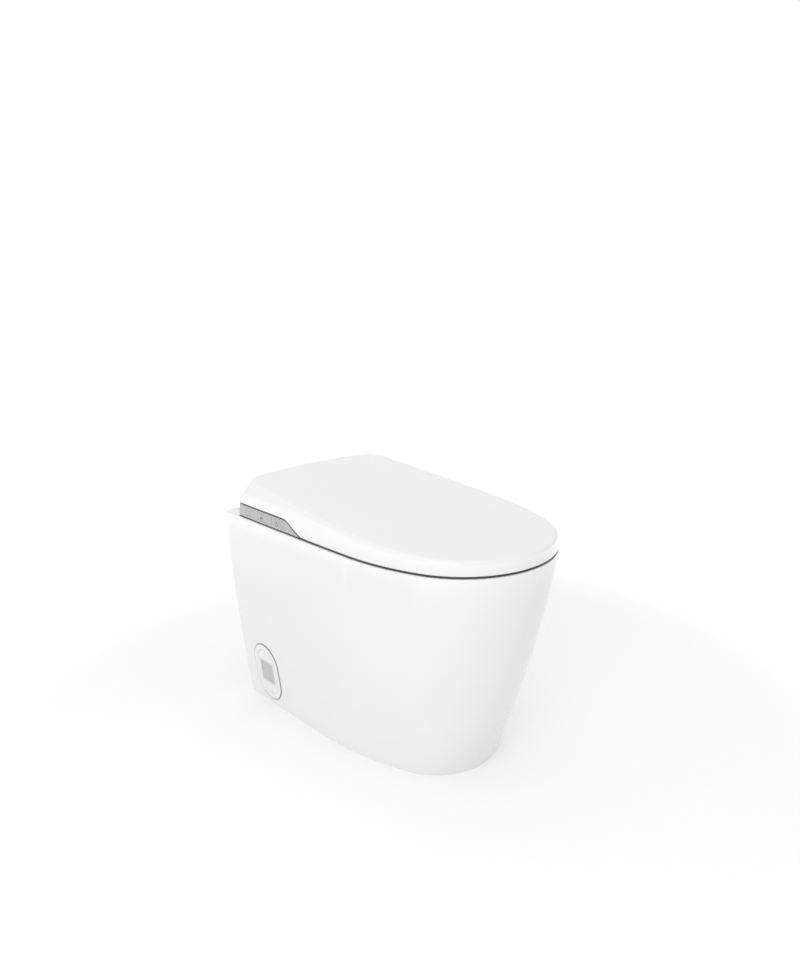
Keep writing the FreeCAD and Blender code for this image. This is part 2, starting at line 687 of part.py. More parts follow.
def hinge_damper(side):
    """A soft-close damper barrel that holds the inner end of a pin, on a foot on the tray."""
    x1 = seat_knuckle_inner - knuckle_gap - ear - 3.2
    x0 = pin_x0 - 6.0
    low = rim_height + 2 * unit_lift + floor_plate
    barrel = rod_x(8.5, x0, x1, hinge_s + 6.0, hinge_z - 0.2).common(
        box(x0, x1, unit_rear_s + wall + 0.4, hinge_s + 16.0, low, cover_top - wall - 0.4))
    foot = box(x0 + 4, x1 - 4, unit_rear_s + wall + 1.0, hinge_s + 20.0, low, low + 3.0)
    solid = barrel.fuse(foot).cut(rod_x(pin_r + 0.02, pin_x0 - 0.3, x1 + 1, hinge_s, hinge_z))
    return solid if side > 0 else mirrored(solid)


# ---- seat -------------------------------------------------------------------------------
def seat_ring(inset, z0, z1, edge=0.0):
    """The seat's ring between two heights, drawn in by inset, with its upper edges rounded by edge."""
    hole_s = (seat_hole_s0 + seat_hole_s1) / 2
    hole_half = (seat_hole_s1 - seat_hole_s0) / 2
    turns = (0.0, math.pi / 4, math.pi / 2) if edge > 0 else (0.0,)
    steps = [(z1 - edge + edge * math.sin(turn), edge * (1 - math.cos(turn))) for turn in turns]
    outside = [rim_plan.wire(z0, seat_inset + inset)]
    hole = [oval_wire(hole_s, hole_half + inset, seat_hole_half + inset, z0)]
    for z, ease in steps:
        outside.append(rim_plan.wire(z, seat_inset + inset + ease))
        hole.append(oval_wire(hole_s, hole_half + inset + ease, seat_hole_half + inset + ease, z))
    ring = Part.makeLoft(outside, True, True).cut(Part.makeLoft(hole, True, True))
    ring = ring.common(box(-rim_half_width, rim_half_width, seat_rear_s + inset, body_length, z0, z1))
    notch = side_prism(wing_outline(lid_panel_gap + 1 + inset), -rim_half_width, -wing_inner + 3 + inset)
    return ring.cut(notch).cut(mirrored(notch))


def seat_arm():
    """One of the two arms that reach back over the unit to the hinge."""
    x0 = seat_knuckle_inner
    x1 = x0 + seat_knuckle
    knuckle = rod_x(knuckle_r, x0, x1, hinge_s, hinge_z)
    arm_low = cover_top + 2.0
    arm_top = arm_low + 9.0
    neck = side_prism([(hinge_s - 3, hinge_z), (hinge_s + 1, arm_low + 1), (hinge_s + 7, arm_top),
                       (hinge_s + 30, arm_top), (hinge_s + 30, arm_low), (hinge_s + 11.5, arm_low),
                       (hinge_s + 9.4, hinge_z)], x0, x1)
    beam = side_prism([(hinge_s + 29, arm_low), (hinge_s + 29, arm_top), (seat_rear_s + 6, arm_top),
                       (seat_rear_s + 26, seat_top - 0.5), (seat_rear_s + 30, seat_bottom + seat_plate + 0.3),
                       (seat_rear_s + 2, seat_bottom + seat_plate + 0.3), (seat_rear_s + 1.5, arm_low)],
                      x0, x1)
    solid = knuckle.fuse(neck).fuse(beam).removeSplitter()
    return solid


def seat_pieces():
    """The top shell with its arms, the base plate, the heating mat between them and the bumpers."""
    split = seat_bottom + seat_plate + 0.1
    top = seat_ring(0.0, seat_bottom, seat_top, seat_edge)
    hollow = seat_ring(seat_skin + 2, seat_bottom - 1, seat_top - seat_skin - 1.5)
    arm = seat_arm()
    arms = arm.fuse(mirrored(arm))
    bore = both_sides(rod_x(pin_r + pin_play, pin_x0, pin_x1, hinge_s, hinge_z))
    top = top.cut(hollow).fuse(arms).removeSplitter().cut(bore)
    plate = seat_ring(seat_skin + 2.25, seat_bottom, split)
    feet = []
    for x, s in ((118.0, 330.0), (88.0, body_length - 64.0)):
        foot = rod_z(bumper_r, x, s, rim_height + bumper_gap, seat_bottom)
        low = [e for e in foot.Edges if e.BoundBox.ZMax < rim_height + bumper_gap + 0.01]
        feet.append(foot.makeChamfer(1.0, low))
    bumpers = Part.makeCompound(feet + [mirrored(foot) for foot in feet])
    mat_top = seat_top - seat_skin - 1.5 - 0.3
    mat = seat_ring(14.0, mat_top - 1.2, mat_top).common(
        box(-rim_half_width, rim_half_width, seat_rear_s + 34, body_length, mat_top - 2, mat_top + 1))
    for row in range(8):
        s = seat_hole_s0 + 24 + 40 * row
        mat = mat.cut(box(-rim_half_width, rim_half_width, s, s + 2.0, mat_top - 0.7, mat_top + 1))
    return top, plate, mat, bumpers


# ---- lid --------------------------------------------------------------------------------
def lid_form(inset, low=lid_bottom):
    """The lid's form drawn in by inset: a skirt that leans in towards its top, cut off by the crowned top."""
    wires = []
    for rise, lean, corner in lid_sections:
        lid_plan.corner = corner + lean
        wires.append(lid_plan.wire(rim_height + rise, lean + inset))
    return Part.makeLoft(wires, True, True).common(
        crown_body(inset, rim_half_width + 10, 0.0, body_length + 20, low))


def lid_notch():
    """The space under the lid's rear that the unit's side panels fill."""
    lean = (panel_tip_s - panel_top_s) / (panel_top - rim_height)
    shift = lid_panel_gap * math.hypot(1, lean)
    top = panel_top + lid_panel_gap
    outline = [(-20.0, 380.0), (-20.0, top), (panel_top_s + shift - lid_panel_gap * lean, top),
               (panel_tip_s + shift + 20 * lean, rim_height - 20)]
    return side_prism(outline, -200.0, 200.0)


def lid_lug():
    """The lug that carries a knuckle of the lid, down from the liner."""
    x0 = lid_knuckle_inner()
    x1 = x0 + lid_knuckle
    knuckle = rod_x(knuckle_r, x0, x1, hinge_s, hinge_z)
    neck = side_prism([(hinge_s - 3, hinge_z), (hinge_s, panel_top + 8), (hinge_s + 12, panel_top + 8),
                       (hinge_s + 9.4, hinge_z)], x0, x1)
    rib = side_prism([(hinge_s - 8, panel_top + 3), (hinge_s - 8, crown_rear), (hinge_s + 34, crown_rear),
                      (hinge_s + 34, crown_rear - 20), (hinge_s + 12, panel_top + 3)], x0, x1)
    form = lid_form(lid_skin + liner_gap + lid_liner_skin / 2)
    below = neck.common(box(x0, x1, 0.0, body_length, 0.0, panel_top + lid_panel_gap - liner_gap))
    return knuckle.fuse([below, neck.common(form), rib.common(form)])


def lid_pieces():
    """The outer shell, the liner with its hinge lugs, and the bumpers."""
    notch = lid_notch()
    shell = lid_form(0.0).cut(lid_form(lid_skin, lid_bottom - 1)).cut(notch)
    gap = lid_skin + liner_gap
    liner = lid_form(gap, liner_edge).cut(lid_form(gap + lid_liner_skin, liner_edge - 1))
    lug = lid_lug()
    liner = liner.fuse(lug).fuse(mirrored(lug))
    liner = liner.cut(both_sides(rod_x(pin_r + pin_play, pin_x0, pin_x1, hinge_s, hinge_z)))
    under = gap + lid_liner_skin
    feet = []
    for x, s in ((84.0, body_length - 68.0), (104.0, 330.0)):
        foot = rod_z(bumper_r - 1, x, s, seat_top + bumper_gap, crown_z(x, s))
        feet.append(foot.common(crown_body(under + 0.3, lid_plan.half, 0.0, body_length, lid_bottom)))
    return shell, liner, Part.makeCompound(feet + [mirrored(foot) for foot in feet])


# ---- wash wands -------------------------------------------------------------------------
def wand_frame(x, back):
    """The frame of a wand, back mm behind its tip: X outward on the right, Y forward along it, Z square."""
    turn = math.radians(wand_tilt)
    forward = Vector(0, -math.cos(turn), -math.sin(turn))
    square = Vector(0, -math.sin(turn), math.cos(turn))
    origin = Vector(x, at(tip_s), tip_z) - forward * back
    return Placement(origin, Rotation(forward.cross(square), forward, square, "ZYX"))


pitch = math.pi * tooth_module
pinion_pitch_r = tooth_module * pinion_teeth / 2
rack_pitch_x = wand_r + 1.6
pinion_x = rack_pitch_x + pinion_pitch_r + 0.12


def rack_tooth(half_width):
    """One straight-sided tooth of the rack, seen along the wand's Z, at the pitch line x = 0."""
    lean = math.tan(math.radians(20))
    out = 0.85 * tooth_module
    root = -1.05 * tooth_module
    thick = pitch / 4 - rack_backlash / 4
    corners = [(out, thick - out * lean), (out, -thick + out * lean), (root, -thick + root * lean),
               (root, thick - root * lean)]
    points = [Vector(x, y, -half_width) for x, y in corners]
    return Part.Face(Part.makePolygon(points + points[:1])).extrude(up * (2 * half_width))


def wand(side):
    """A wand with the rack that drives it, along the outer side of the tube, and its spray head."""
    body_end = wand_length - wand_tip
    tube = Part.makeCylinder(wand_r, body_end, Vector(0, -wand_length, 0), Vector(0, 1, 0))
    rib = Part.makeBox(rack_pitch_x - tooth_module - wand_r + 2, body_end - 4, pinion_width + 0.4,
                       Vector(wand_r - 2, -wand_length + 2, -pinion_width / 2 - 0.2))
    teeth = []
    for index in range(int(wand_length / pitch)):
        y = -pinion_at + pitch * 2 - index * pitch
        if -wand_length + 4 < y < -wand_tip - 2:
            tooth = rack_tooth(pinion_width / 2 + 0.2)
            tooth.translate(Vector(rack_pitch_x, y, 0))
            teeth.append(tooth)
    tube = tube.fuse([rib] + teeth).removeSplitter()
    head = Part.makeCylinder(wand_r, wand_tip - 4, Vector(0, -wand_tip + 0.05, 0), Vector(0, 1, 0))
    head = head.fuse(Part.makeCone(wand_r, wand_r - 2.5, 4.0, Vector(0, -4 + 0.05, 0), Vector(0, 1, 0)))
    for step in range(3):
        head = head.cut(Part.makeCylinder(0.6, 3.0, Vector(0, -7.0 - 3 * step, wand_r - 2.5), up))
    place = wand_frame(-wand_x, 0.0)
    pair = []
    for solid in (tube, head):
        solid.Placement = place
        pair.append(mirrored(solid) if side > 0 else solid)
    return pair


def pinion(side):
    """A pinion with its shaft; a gap between two teeth faces the rack at rest."""
    out = 0.8 * tooth_module
    root = pinion_pitch_r - 1.1 * tooth_module
    half_pitch = math.pi / (2 * pinion_teeth) - rack_backlash / (4 * pinion_pitch_r)
    points = []
    for index in range(pinion_teeth):
        middle = 2 * math.pi * (index + 0.5) / pinion_teeth + math.pi
        for r, spread in ((root, 1.45), (pinion_pitch_r, 1.0), (pinion_pitch_r + out, 0.45)):
            points.append((r, middle - half_pitch * spread))
        for r, spread in ((pinion_pitch_r + out, 0.45), (pinion_pitch_r, 1.0), (root, 1.45)):
            points.append((r, middle + half_pitch * spread))
    corners = [Vector(r * math.cos(a), r * math.sin(a), -pinion_width / 2) for r, a in points]
    gear = Part.Face(Part.makePolygon(corners + corners[:1])).extrude(up * pinion_width)
    shaft = Part.makeCylinder(shaft_r, 8.0, Vector(0, 0, pinion_width / 2 - 0.5), up)
    gear = gear.fuse(shaft)
    gear.Placement = wand_frame(-wand_x - pinion_x, pinion_at)
    return mirrored(gear) if side > 0 else gear


def wand_motors():
    """The two stepper motors, square to the wands, above their pinions."""
    can = Part.makeCylinder(7.5, 13.0, Vector(0, 0, pinion_width / 2 + 1.0), up)
    can = can.cut(Part.makeCylinder(shaft_r + 0.05, 8.0, Vector(0, 0, pinion_width / 2), up))
    flange = Part.makeBox(11.5, 5.0, 1.2, Vector(2.0, -2.5, pinion_width / 2 + 1.0))
    can = can.fuse(flange)
    can.Placement = wand_frame(-wand_x - pinion_x, pinion_at)
    return both_sides(can)


def wand_guide():
    """The carrier with the wands' two bores, slots for their racks and pockets for the pinions."""
    half = wand_x + wand_r + guide_wall + 9.0
    length = wand_length - 6.0
    block = Part.makeBox(2 * half, length, 2 * (wand_r + guide_wall),
                         Vector(-half, -wand_length + 2, -wand_r - guide_wall))
    upright = [e for e in block.Edges if abs(e.tangentAt(e.FirstParameter).y) > 0.99]
    block = block.makeFillet(3.0, upright)
    slot = rack_pitch_x + tooth_module + 0.5
    for side in (-1, 1):
        bore = Part.makeCylinder(wand_r + wand_play, length + 20, Vector(side * wand_x, -wand_length - 9, 0),
                                 Vector(0, 1, 0))
        x0 = side * wand_x if side > 0 else side * (wand_x + slot)
        rack = Part.makeBox(slot, length + 20, pinion_width + 1.4,
                            Vector(x0, -wand_length - 9, -pinion_width / 2 - 0.7))
        pocket_x = side * (wand_x + pinion_x)
        pocket = Part.makeCylinder(pinion_pitch_r + 1.6, 14.0, Vector(pocket_x, -pinion_at, -pinion_width / 2 - 0.5),
                                   up)
        block = block.cut(bore).cut(rack).cut(pocket)
    relief = Part.makeBox(2 * half + 2, wand_length, 20.0, Vector(-half - 1, -wand_length - 1, wand_r + 1.0))
    relief = relief.cut(Part.makeBox(2 * half + 4, 12.0, 22.0, Vector(-half - 2, -wand_length + 30, wand_r)))
    block = block.cut(relief.common(Part.makeBox(2 * half + 2, 70.0, 20.0,
                                                 Vector(-half - 1, -wand_length - 1, wand_r + 1.0))))
    block.Placement = wand_frame(0.0, 0.0)
    legs = guide_legs()
    return block.fuse(legs).removeSplitter()


def guide_legs():
    """Two cross walls that stand the carrier on the tray."""
    low = rim_height + 2 * unit_lift + floor_plate
    walls = []
    for s in (118.0, 160.0):
        top = wand_axis_z(s + 4.0) - wand_r - 2.0
        walls.append(box(-16.0, 16.0, s, s + 4.0, low, top))
    return walls[0].fuse(walls[1])


# ---- blowers ----------------------------------------------------------------------------
def fan_wheel(side, x0):
    """A drum rotor: hub and shaft, back disc, forward-curved blades and a front ring."""
    disc = rod_x(fan_r, x0 + fan_width - 1.2, x0 + fan_width, blower_s, blower_z)
    hub = rod_x(4.5, x0 + 4.0, x0 + fan_width, blower_s, blower_z)
    shaft = rod_x(shaft_r, x0 + fan_width - 1.0, x0 + fan_width + 9.0, blower_s, blower_z)
    ring = rod_x(fan_r, x0, x0 + 1.2, blower_s, blower_z).cut(
        rod_x(fan_r - 4.0, x0 - 1, x0 + 2.2, blower_s, blower_z))
    centre = Vector(x0, at(blower_s), blower_z)
    blades = []
    for index in range(fan_blades):
        blade = Part.makeBox(fan_width - 0.4, 0.9, 4.2, Vector(x0 + 0.2, at(blower_s) - 0.45,
                                                               blower_z + fan_r - 4.4))
        blade.rotate(Vector(x0, at(blower_s), blower_z + fan_r - 2.2), across, 32)
        blade.rotate(centre, across, 360.0 * index / fan_blades)
        blades.append(blade)
    drum = disc.fuse([hub, shaft, ring] + blades)
    limit = rod_x(fan_r, x0 - 1, x0 + fan_width + 12, blower_s, blower_z)
    solid = drum.common(limit)
    return solid if side > 0 else mirrored(solid)


def blower_housing(side):
    """The scroll round the rotor, with its duct forward and down to the mouth over the bowl."""
    x0 = blower_x
    x1 = x0 + blower_wall + fan_width + 2 * fan_gap + blower_wall
    scroll_r = fan_r + fan_gap + 3.2
    low = blower_z - scroll_r
    outer = rod_x(scroll_r, x0, x1, blower_s, blower_z)
    inner = rod_x(scroll_r - blower_wall, x0 + blower_wall, x1 - blower_wall, blower_s, blower_z)
    bend_s = 186.0
    mouth_s = unit_front_s - 1.5
    mouth_top = rim_height + 0.8
    outer = outer.fuse(side_prism([(blower_s, low), (blower_s, low + duct_height), (bend_s, low + duct_height),
                                   (mouth_s, mouth_top), (mouth_s, mouth_top - duct_height), (bend_s - 2, low)],
                                  x0, x1))
    t = blower_wall
    inner = inner.fuse(side_prism([(blower_s, low + t), (blower_s, low + duct_height - t),
                                   (bend_s + 1, low + duct_height - t), (mouth_s + 1, mouth_top - t),
                                   (mouth_s + 1, mouth_top - duct_height + t), (bend_s - 1, low + t)],
                                  x0 + t, x1 - t))
    eye = rod_x(fan_r - 5.0, x0 - 1, x0 + blower_wall + 0.5, blower_s, blower_z)
    bearing = rod_x(shaft_r + 0.05, x1 - blower_wall - 1, x1 + 1, blower_s, blower_z)
    solid = outer.cut(inner).cut(eye).cut(bearing)
    foot = box(x0 + 2, x1 - 2, blower_s - 14, blower_s + 14, rim_height + 2 * unit_lift + floor_plate,
               low + 0.9)
    solid = solid.fuse(foot.cut(rod_x(scroll_r - 0.2, x0, x1, blower_s, blower_z)))
    return solid if side > 0 else mirrored(solid)


def blower_motor(side):
    """The can motor behind the scroll."""
    x0 = blower_x + 2 * blower_wall + fan_width + 2 * fan_gap + 0.3
    can = rod_x(11.0, x0, x0 + 18.0, blower_s, blower_z)
    rear = [e for e in can.Edges if e.BoundBox.XMin > x0 + 17.9]
    can = can.makeChamfer(2.0, rear).cut(rod_x(shaft_r + 0.05, x0 - 1, x0 + 9.0, blower_s, blower_z))
    return can if side > 0 else mirrored(can)


def dryer_flap():
    """The flap that closes the dryer's mouth, hung from its top edge."""
    x0 = blower_x + blower_wall
    x1 = blower_x + blower_wall + fan_width + 2 * fan_gap
    top = rim_height + 0.8 - blower_wall
    s0 = unit_front_s - 1.0
    plate = box(x0, x1, s0, s0 + flap_thickness, top - duct_height + 2 * blower_wall + 1.0, top - 0.8)
    bar = rod_x(1.4, x0, x1, s0 + 0.9, top - 1.6)
    return plate.fuse(bar).cut(rod_x(0.75, x0 - 1, x1 + 1, s0 + 0.9, top - 1.6))


def flap_pin():
    """The wire that the flap hangs on, in two small cheeks of the mouth."""
    x0 = blower_x + 0.2
    x1 = blower_x + 2 * blower_wall + fan_width + 2 * fan_gap - 0.2
    top = rim_height + 0.8 - blower_wall
    return rod_x(0.7, x0, x1, unit_front_s - 0.1, top - 1.6)


# ---- other works of the unit ------------------------------------------------------------
def heater():
    """The flow heater: a flat finned block with its two water stubs."""
    low = rim_height + 2 * unit_lift + floor_plate
    block = soft_block(96.0, 136.0, 98.0, 176.0, low, low + 14.0, 4.0)
    for index in range(7):
        s = 104.0 + 10 * index
        block = block.cut(box(100.0, 132.0, s, s + 4.0, low + 10.0, low + 15.0))
    for s in (110.0, 164.0):
        block = block.fuse(rod_x(3.5, 90.0, 97.0, s, low + 6.0))
    return block


def main_board():
    """The control board on four short posts, with its relay, capacitors and connectors."""
    low = rim_height + 2 * unit_lift + floor_plate
    board = box(-138.0, -96.0, 98.0, 174.0, low + 4.0, low + 5.6)
    for x in (-134.0, -100.0):
        for s in (102.0, 170.0):
            board = board.fuse(box(x - 2.0, x + 2.0, s - 2.0, s + 2.0, low, low + 4.2))
    board = board.fuse(box(-132.0, -116.0, 110.0, 126.0, low + 5.4, low + 15.0))
    for index in range(3):
        board = board.fuse(rod_z(4.0, -106.0, 118.0 + 12 * index, low + 5.4, low + 16.0))
        board = board.fuse(box(-134.0, -124.0, 134.0 + 12 * index, 143.0 + 12 * index, low + 5.4, low + 12.0))
    return board


def cover_screws():
    """Pan-head screws from under the tray into the cover's bosses."""
    low = rim_height + unit_lift
    screws = []
    for x in (-screw_x, screw_x):
        for s in screw_s:
            shank = rod_z(screw_r, x, s, low - 0.1, low + 11.0)
            screws.append(shank.fuse(rod_z(3.2, x, s, low - 2.2, low)))
    return Part.makeCompound(screws)


def unit_bolts():
    """The two bolts that clamp the tray to the deck, with washers and nuts under it."""
    low = rim_height + unit_lift
    shank = rod_z(unit_bolt_r, unit_bolt_x, unit_bolt_s, rim_height - deck - 12, low + floor_plate + 1)
    head = hexagon(6.9, unit_bolt_x, unit_bolt_s, low + floor_plate, low + floor_plate + 3.5)
    washer = rod_z(8.0, unit_bolt_x, unit_bolt_s, rim_height - deck - 2.0, rim_height - deck - 0.1)
    nut = hexagon(7.5, unit_bolt_x, unit_bolt_s, rim_height - deck - 8.5, rim_height - deck - 2.0)
    return both_sides(shank.fuse([head, washer, nut]))


# ---- works in the pedestal --------------------------------------------------------------
def flush_tank():
    """The blow-moulded buffer tank that stands on the compartment's floor."""
    low = skirt_wall + unit_lift
    tank = soft_block(8.0, 98.0, 34.0, 140.0, low, 226.0, 18.0)
    crest = [e for e in tank.Edges if e.BoundBox.ZMin > 225.9]
    tank = tank.makeChamfer(8.0, crest)
    for z in (80.0, 130.0, 180.0):
        band = box(0.0, 106.0, 26.0, 148.0, z, z + 8.0).cut(
            soft_block(10.5, 95.5, 36.5, 137.5, z - 1, z + 9.0, 15.5))
        tank = tank.cut(band)
    return tank.fuse(rod_z(16.0, 53.0, 87.0, 225.0, 238.0))


def flush_pump():
    """The pump beside the access opening: scroll, motor can, outlet and feet."""
    low = skirt_wall + unit_lift
    scroll = rod_z(30.0, -62.0, 96.0, low + 6.0, low + 30.0)
    motor = rod_z(23.0, -62.0, 96.0, low + 29.0, low + 92.0)
    cap = rod_z(17.0, -62.0, 96.0, low + 91.0, low + 100.0)
    outlet = Part.makeCylinder(9.0, 44.0, Vector(-44.0, at(96.0), low + 18.0), Vector(0, -1, 0))
    inlet = rod_x(9.0, -40.0, 7.7, 86.0, low + 18.0)
    feet = box(-90.0, -34.0, 72.0, 80.0, low, low + 8.0).fuse(box(-90.0, -34.0, 112.0, 120.0, low, low + 8.0))
    return scroll.fuse([motor, cap, outlet, inlet, feet])


def flush_hose():
    """The hose from the pump up to the deck, where it turns into the rear of the bowl's rim."""
    low = skirt_wall + unit_lift
    start = Vector(-44.0, at(140.4), low + 18.0)
    points = [start, Vector(-44.0, at(178.0), low + 18.0), Vector(-44.0, at(178.0), 300.0),
              Vector(-44.0, at(214.6), 300.0)]
    return tube_along(points, (24.0, 24.0), 8.5)


def supply_hose():
    """The hose from the inlet valve up through the deck to the flow heater's side."""
    points = [Vector(-70.0, at(valve_s), inlet_z + 55.3), Vector(-70.0, at(valve_s), inlet_z + 125.0),
              Vector(-70.0, at(150.0), inlet_z + 185.0), Vector(-70.0, at(150.0), rim_height + 16.0)]
    return tube_along(points, (30.0, 40.0), 6.0)


def service_plate():
    """The steel plate inside the rear window that carries the water and mains inlets."""
    margin = 8.0
    s0 = skirt_wall + unit_lift
    plate = box(-rear_window_half - margin, rear_window_half + margin, s0, s0 + plate_thickness,
                rear_window_z0 - margin, rear_window_z0 + 80.0)
    plate = plate.cut(rod_y(neck_r + 0.3, inlet_x, inlet_z, 0.0, 30.0))
    return plate.cut(rod_y(gland_r, gland_x, inlet_z, 0.0, 30.0))


def inlet_nipple():
    """The brass nipple: its thread outside the plate, a neck through the plate and a flange inside it."""
    s0 = skirt_wall + unit_lift
    thread = rod_y(inlet_r, inlet_x, inlet_z, 0.5, s0 - 0.3)
    neck = rod_y(neck_r, inlet_x, inlet_z, s0 - 0.4, valve_s - 14.3)
    flange = rod_y(inlet_r + 5, inlet_x, inlet_z, s0 + plate_thickness + 0.1, s0 + plate_thickness + 3.1)
    return thread.fuse([neck, flange]).cut(rod_y(6.5, inlet_x, inlet_z, 0.0, valve_s - 17))


def inlet_valve():
    """The solenoid valve's moulded body with its outlet stub."""
    body = soft_block(-80.0, -46.0, valve_s - 14, valve_s + 14, inlet_z - 14, inlet_z + 14, 4.0)
    return body.fuse(rod_z(6.0, -70.0, valve_s, inlet_z + 13, inlet_z + 55.0))


def power_gland():
    """The gland of the mains lead in the plate."""
    s0 = skirt_wall + unit_lift + plate_thickness
    outer = rod_y(gland_r - 0.3, gland_x, inlet_z, 6.0, s0 + 8.0)
    collar = rod_y(gland_r + 3, gland_x, inlet_z, s0 + 0.3, s0 + 3.3)
    return outer.fuse(collar).cut(rod_y(4.0, gland_x, inlet_z, 0.0, 40.0))


def power_supply():
    """The sealed power supply, hung on the compartment's front wall."""
    return soft_block(30.0, 110.0, partition_s - 44, partition_s - 0.3, 255.0, 350.0, 4.0)


# ---- the assembly -----------------------------------------------------------------------
def build():
    """Every piece under its own name."""
    pieces["ceramic_body"] = ceramic_body()
    bezel, door, grille = service_cover()
    pieces["service_cover_bezel"] = bezel
    pieces["service_cover_door"] = door
    pieces["service_cover_grille"] = grille
    pieces["unit_base"] = unit_base()
    pieces["unit_cover"] = unit_cover()
    right, left, keys = side_panels()
    pieces["control_panel_plate"] = right
    pieces["left_side_panel"] = left
    for name, key in zip(("rear_wash_key", "front_wash_key", "dryer_key", "flush_key"), keys):
        pieces[name] = key
    pieces["key_switch_board"] = key_board()
    pieces["hinge_pins"] = hinge_pins()
    pieces["hinge_damper_left"] = hinge_damper(1)
    pieces["hinge_damper_right"] = hinge_damper(-1)
    top, plate, mat, bumpers = seat_pieces()
    pieces["seat_top_shell"] = top
    pieces["seat_base_plate"] = plate
    pieces["seat_heating_mat"] = mat
    pieces["seat_bumpers"] = bumpers
    shell, liner, stops = lid_pieces()
    pieces["lid_shell"] = shell
    pieces["lid_liner"] = liner
    pieces["lid_bumpers"] = stops
    for name, side in (("rear_wash", 1), ("front_wash", -1)):
        pieces[name + "_wand"], pieces[name + "_spray_head"] = wand(side)
        pieces[name + "_pinion"] = pinion(side)
    pieces["wand_guide"] = wand_guide()
    pieces["wand_motors"] = wand_motors()
    for name, side in (("dryer", 1), ("deodoriser", -1)):
        pieces[name + "_fan_wheel"] = fan_wheel(side, blower_x + blower_wall + fan_gap)
        pieces[name + "_blower_housing"] = blower_housing(side)
        pieces[name + "_motor"] = blower_motor(side)
    pieces["dryer_flap"] = dryer_flap()
    pieces["dryer_flap_pin"] = flap_pin()
    pieces["instant_heater"] = heater()
    pieces["main_circuit_board"] = main_board()
    pieces["cover_screws"] = cover_screws()
    pieces["unit_bolts"] = unit_bolts()
    pieces["flush_tank"] = flush_tank()
    pieces["flush_pump"] = flush_pump()
    pieces["flush_hose"] = flush_hose()
    pieces["supply_hose"] = supply_hose()
    pieces["service_plate"] = service_plate()
    pieces["water_inlet_nipple"] = inlet_nipple()
    pieces["inlet_valve"] = inlet_valve()
    pieces["power_gland"] = power_gland()
    pieces["power_supply"] = power_supply()


build()
for name, solid in pieces.items():
    solid.exportStep(os.path.join("parts", name + ".step"))
    box_of = solid.BoundBox
    print(f"{name:24s} solids {len(solid.Solids)}  volume {solid.Volume / 1000:10.1f} cm3  "
          f"x {box_of.XMin:7.1f} {box_of.XMax:7.1f}  y {box_of.YMin:7.1f} {box_of.YMax:7.1f}  "
          f"z {box_of.ZMin:6.1f} {box_of.ZMax:6.1f}  valid {solid.isValid()}")
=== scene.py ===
"""Smart toilet: a glazed pedestal, a wash unit with a key panel, a heated seat and a full-cover lid.

Axes as in the frame: X across, +Y to the rear, +Z up. Shapes are worked out in millimetres, with
s the distance forward of the pedestal's rear face, and are turned into metres where a mesh is made.
"""
import json
import math

import bmesh
import bpy
import numpy as np
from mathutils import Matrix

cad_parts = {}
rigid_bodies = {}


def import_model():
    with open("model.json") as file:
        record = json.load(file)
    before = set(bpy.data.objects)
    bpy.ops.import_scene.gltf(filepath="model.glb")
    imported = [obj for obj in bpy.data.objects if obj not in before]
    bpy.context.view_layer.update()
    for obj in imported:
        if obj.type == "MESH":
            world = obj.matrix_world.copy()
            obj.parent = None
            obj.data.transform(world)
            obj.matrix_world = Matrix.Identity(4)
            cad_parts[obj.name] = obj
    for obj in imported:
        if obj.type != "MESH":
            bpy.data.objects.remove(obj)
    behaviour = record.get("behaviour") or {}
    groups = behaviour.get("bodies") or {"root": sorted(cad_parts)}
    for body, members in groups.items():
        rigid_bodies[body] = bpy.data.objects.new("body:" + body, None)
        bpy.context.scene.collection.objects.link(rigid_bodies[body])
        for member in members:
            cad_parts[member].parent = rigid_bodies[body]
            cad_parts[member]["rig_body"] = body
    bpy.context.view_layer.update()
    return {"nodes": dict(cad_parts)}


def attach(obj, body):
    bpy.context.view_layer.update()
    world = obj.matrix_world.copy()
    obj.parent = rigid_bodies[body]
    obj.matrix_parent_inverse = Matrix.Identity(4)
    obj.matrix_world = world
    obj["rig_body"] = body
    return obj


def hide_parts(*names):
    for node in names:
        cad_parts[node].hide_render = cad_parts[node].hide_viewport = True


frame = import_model()
scene = bpy.context.scene

# ---- glazed pedestal ---------------------------------------------------------------------
# The body is one casting of vitreous china: skirt, rim, bowl and trapway. It is sprayed with
# an opaque white glaze, which levels out in the kiln to a soft gloss with a very slow ripple.
GLAZE_WHITE = (0.872, 0.875, 0.875)
REAR_Y = 330.0


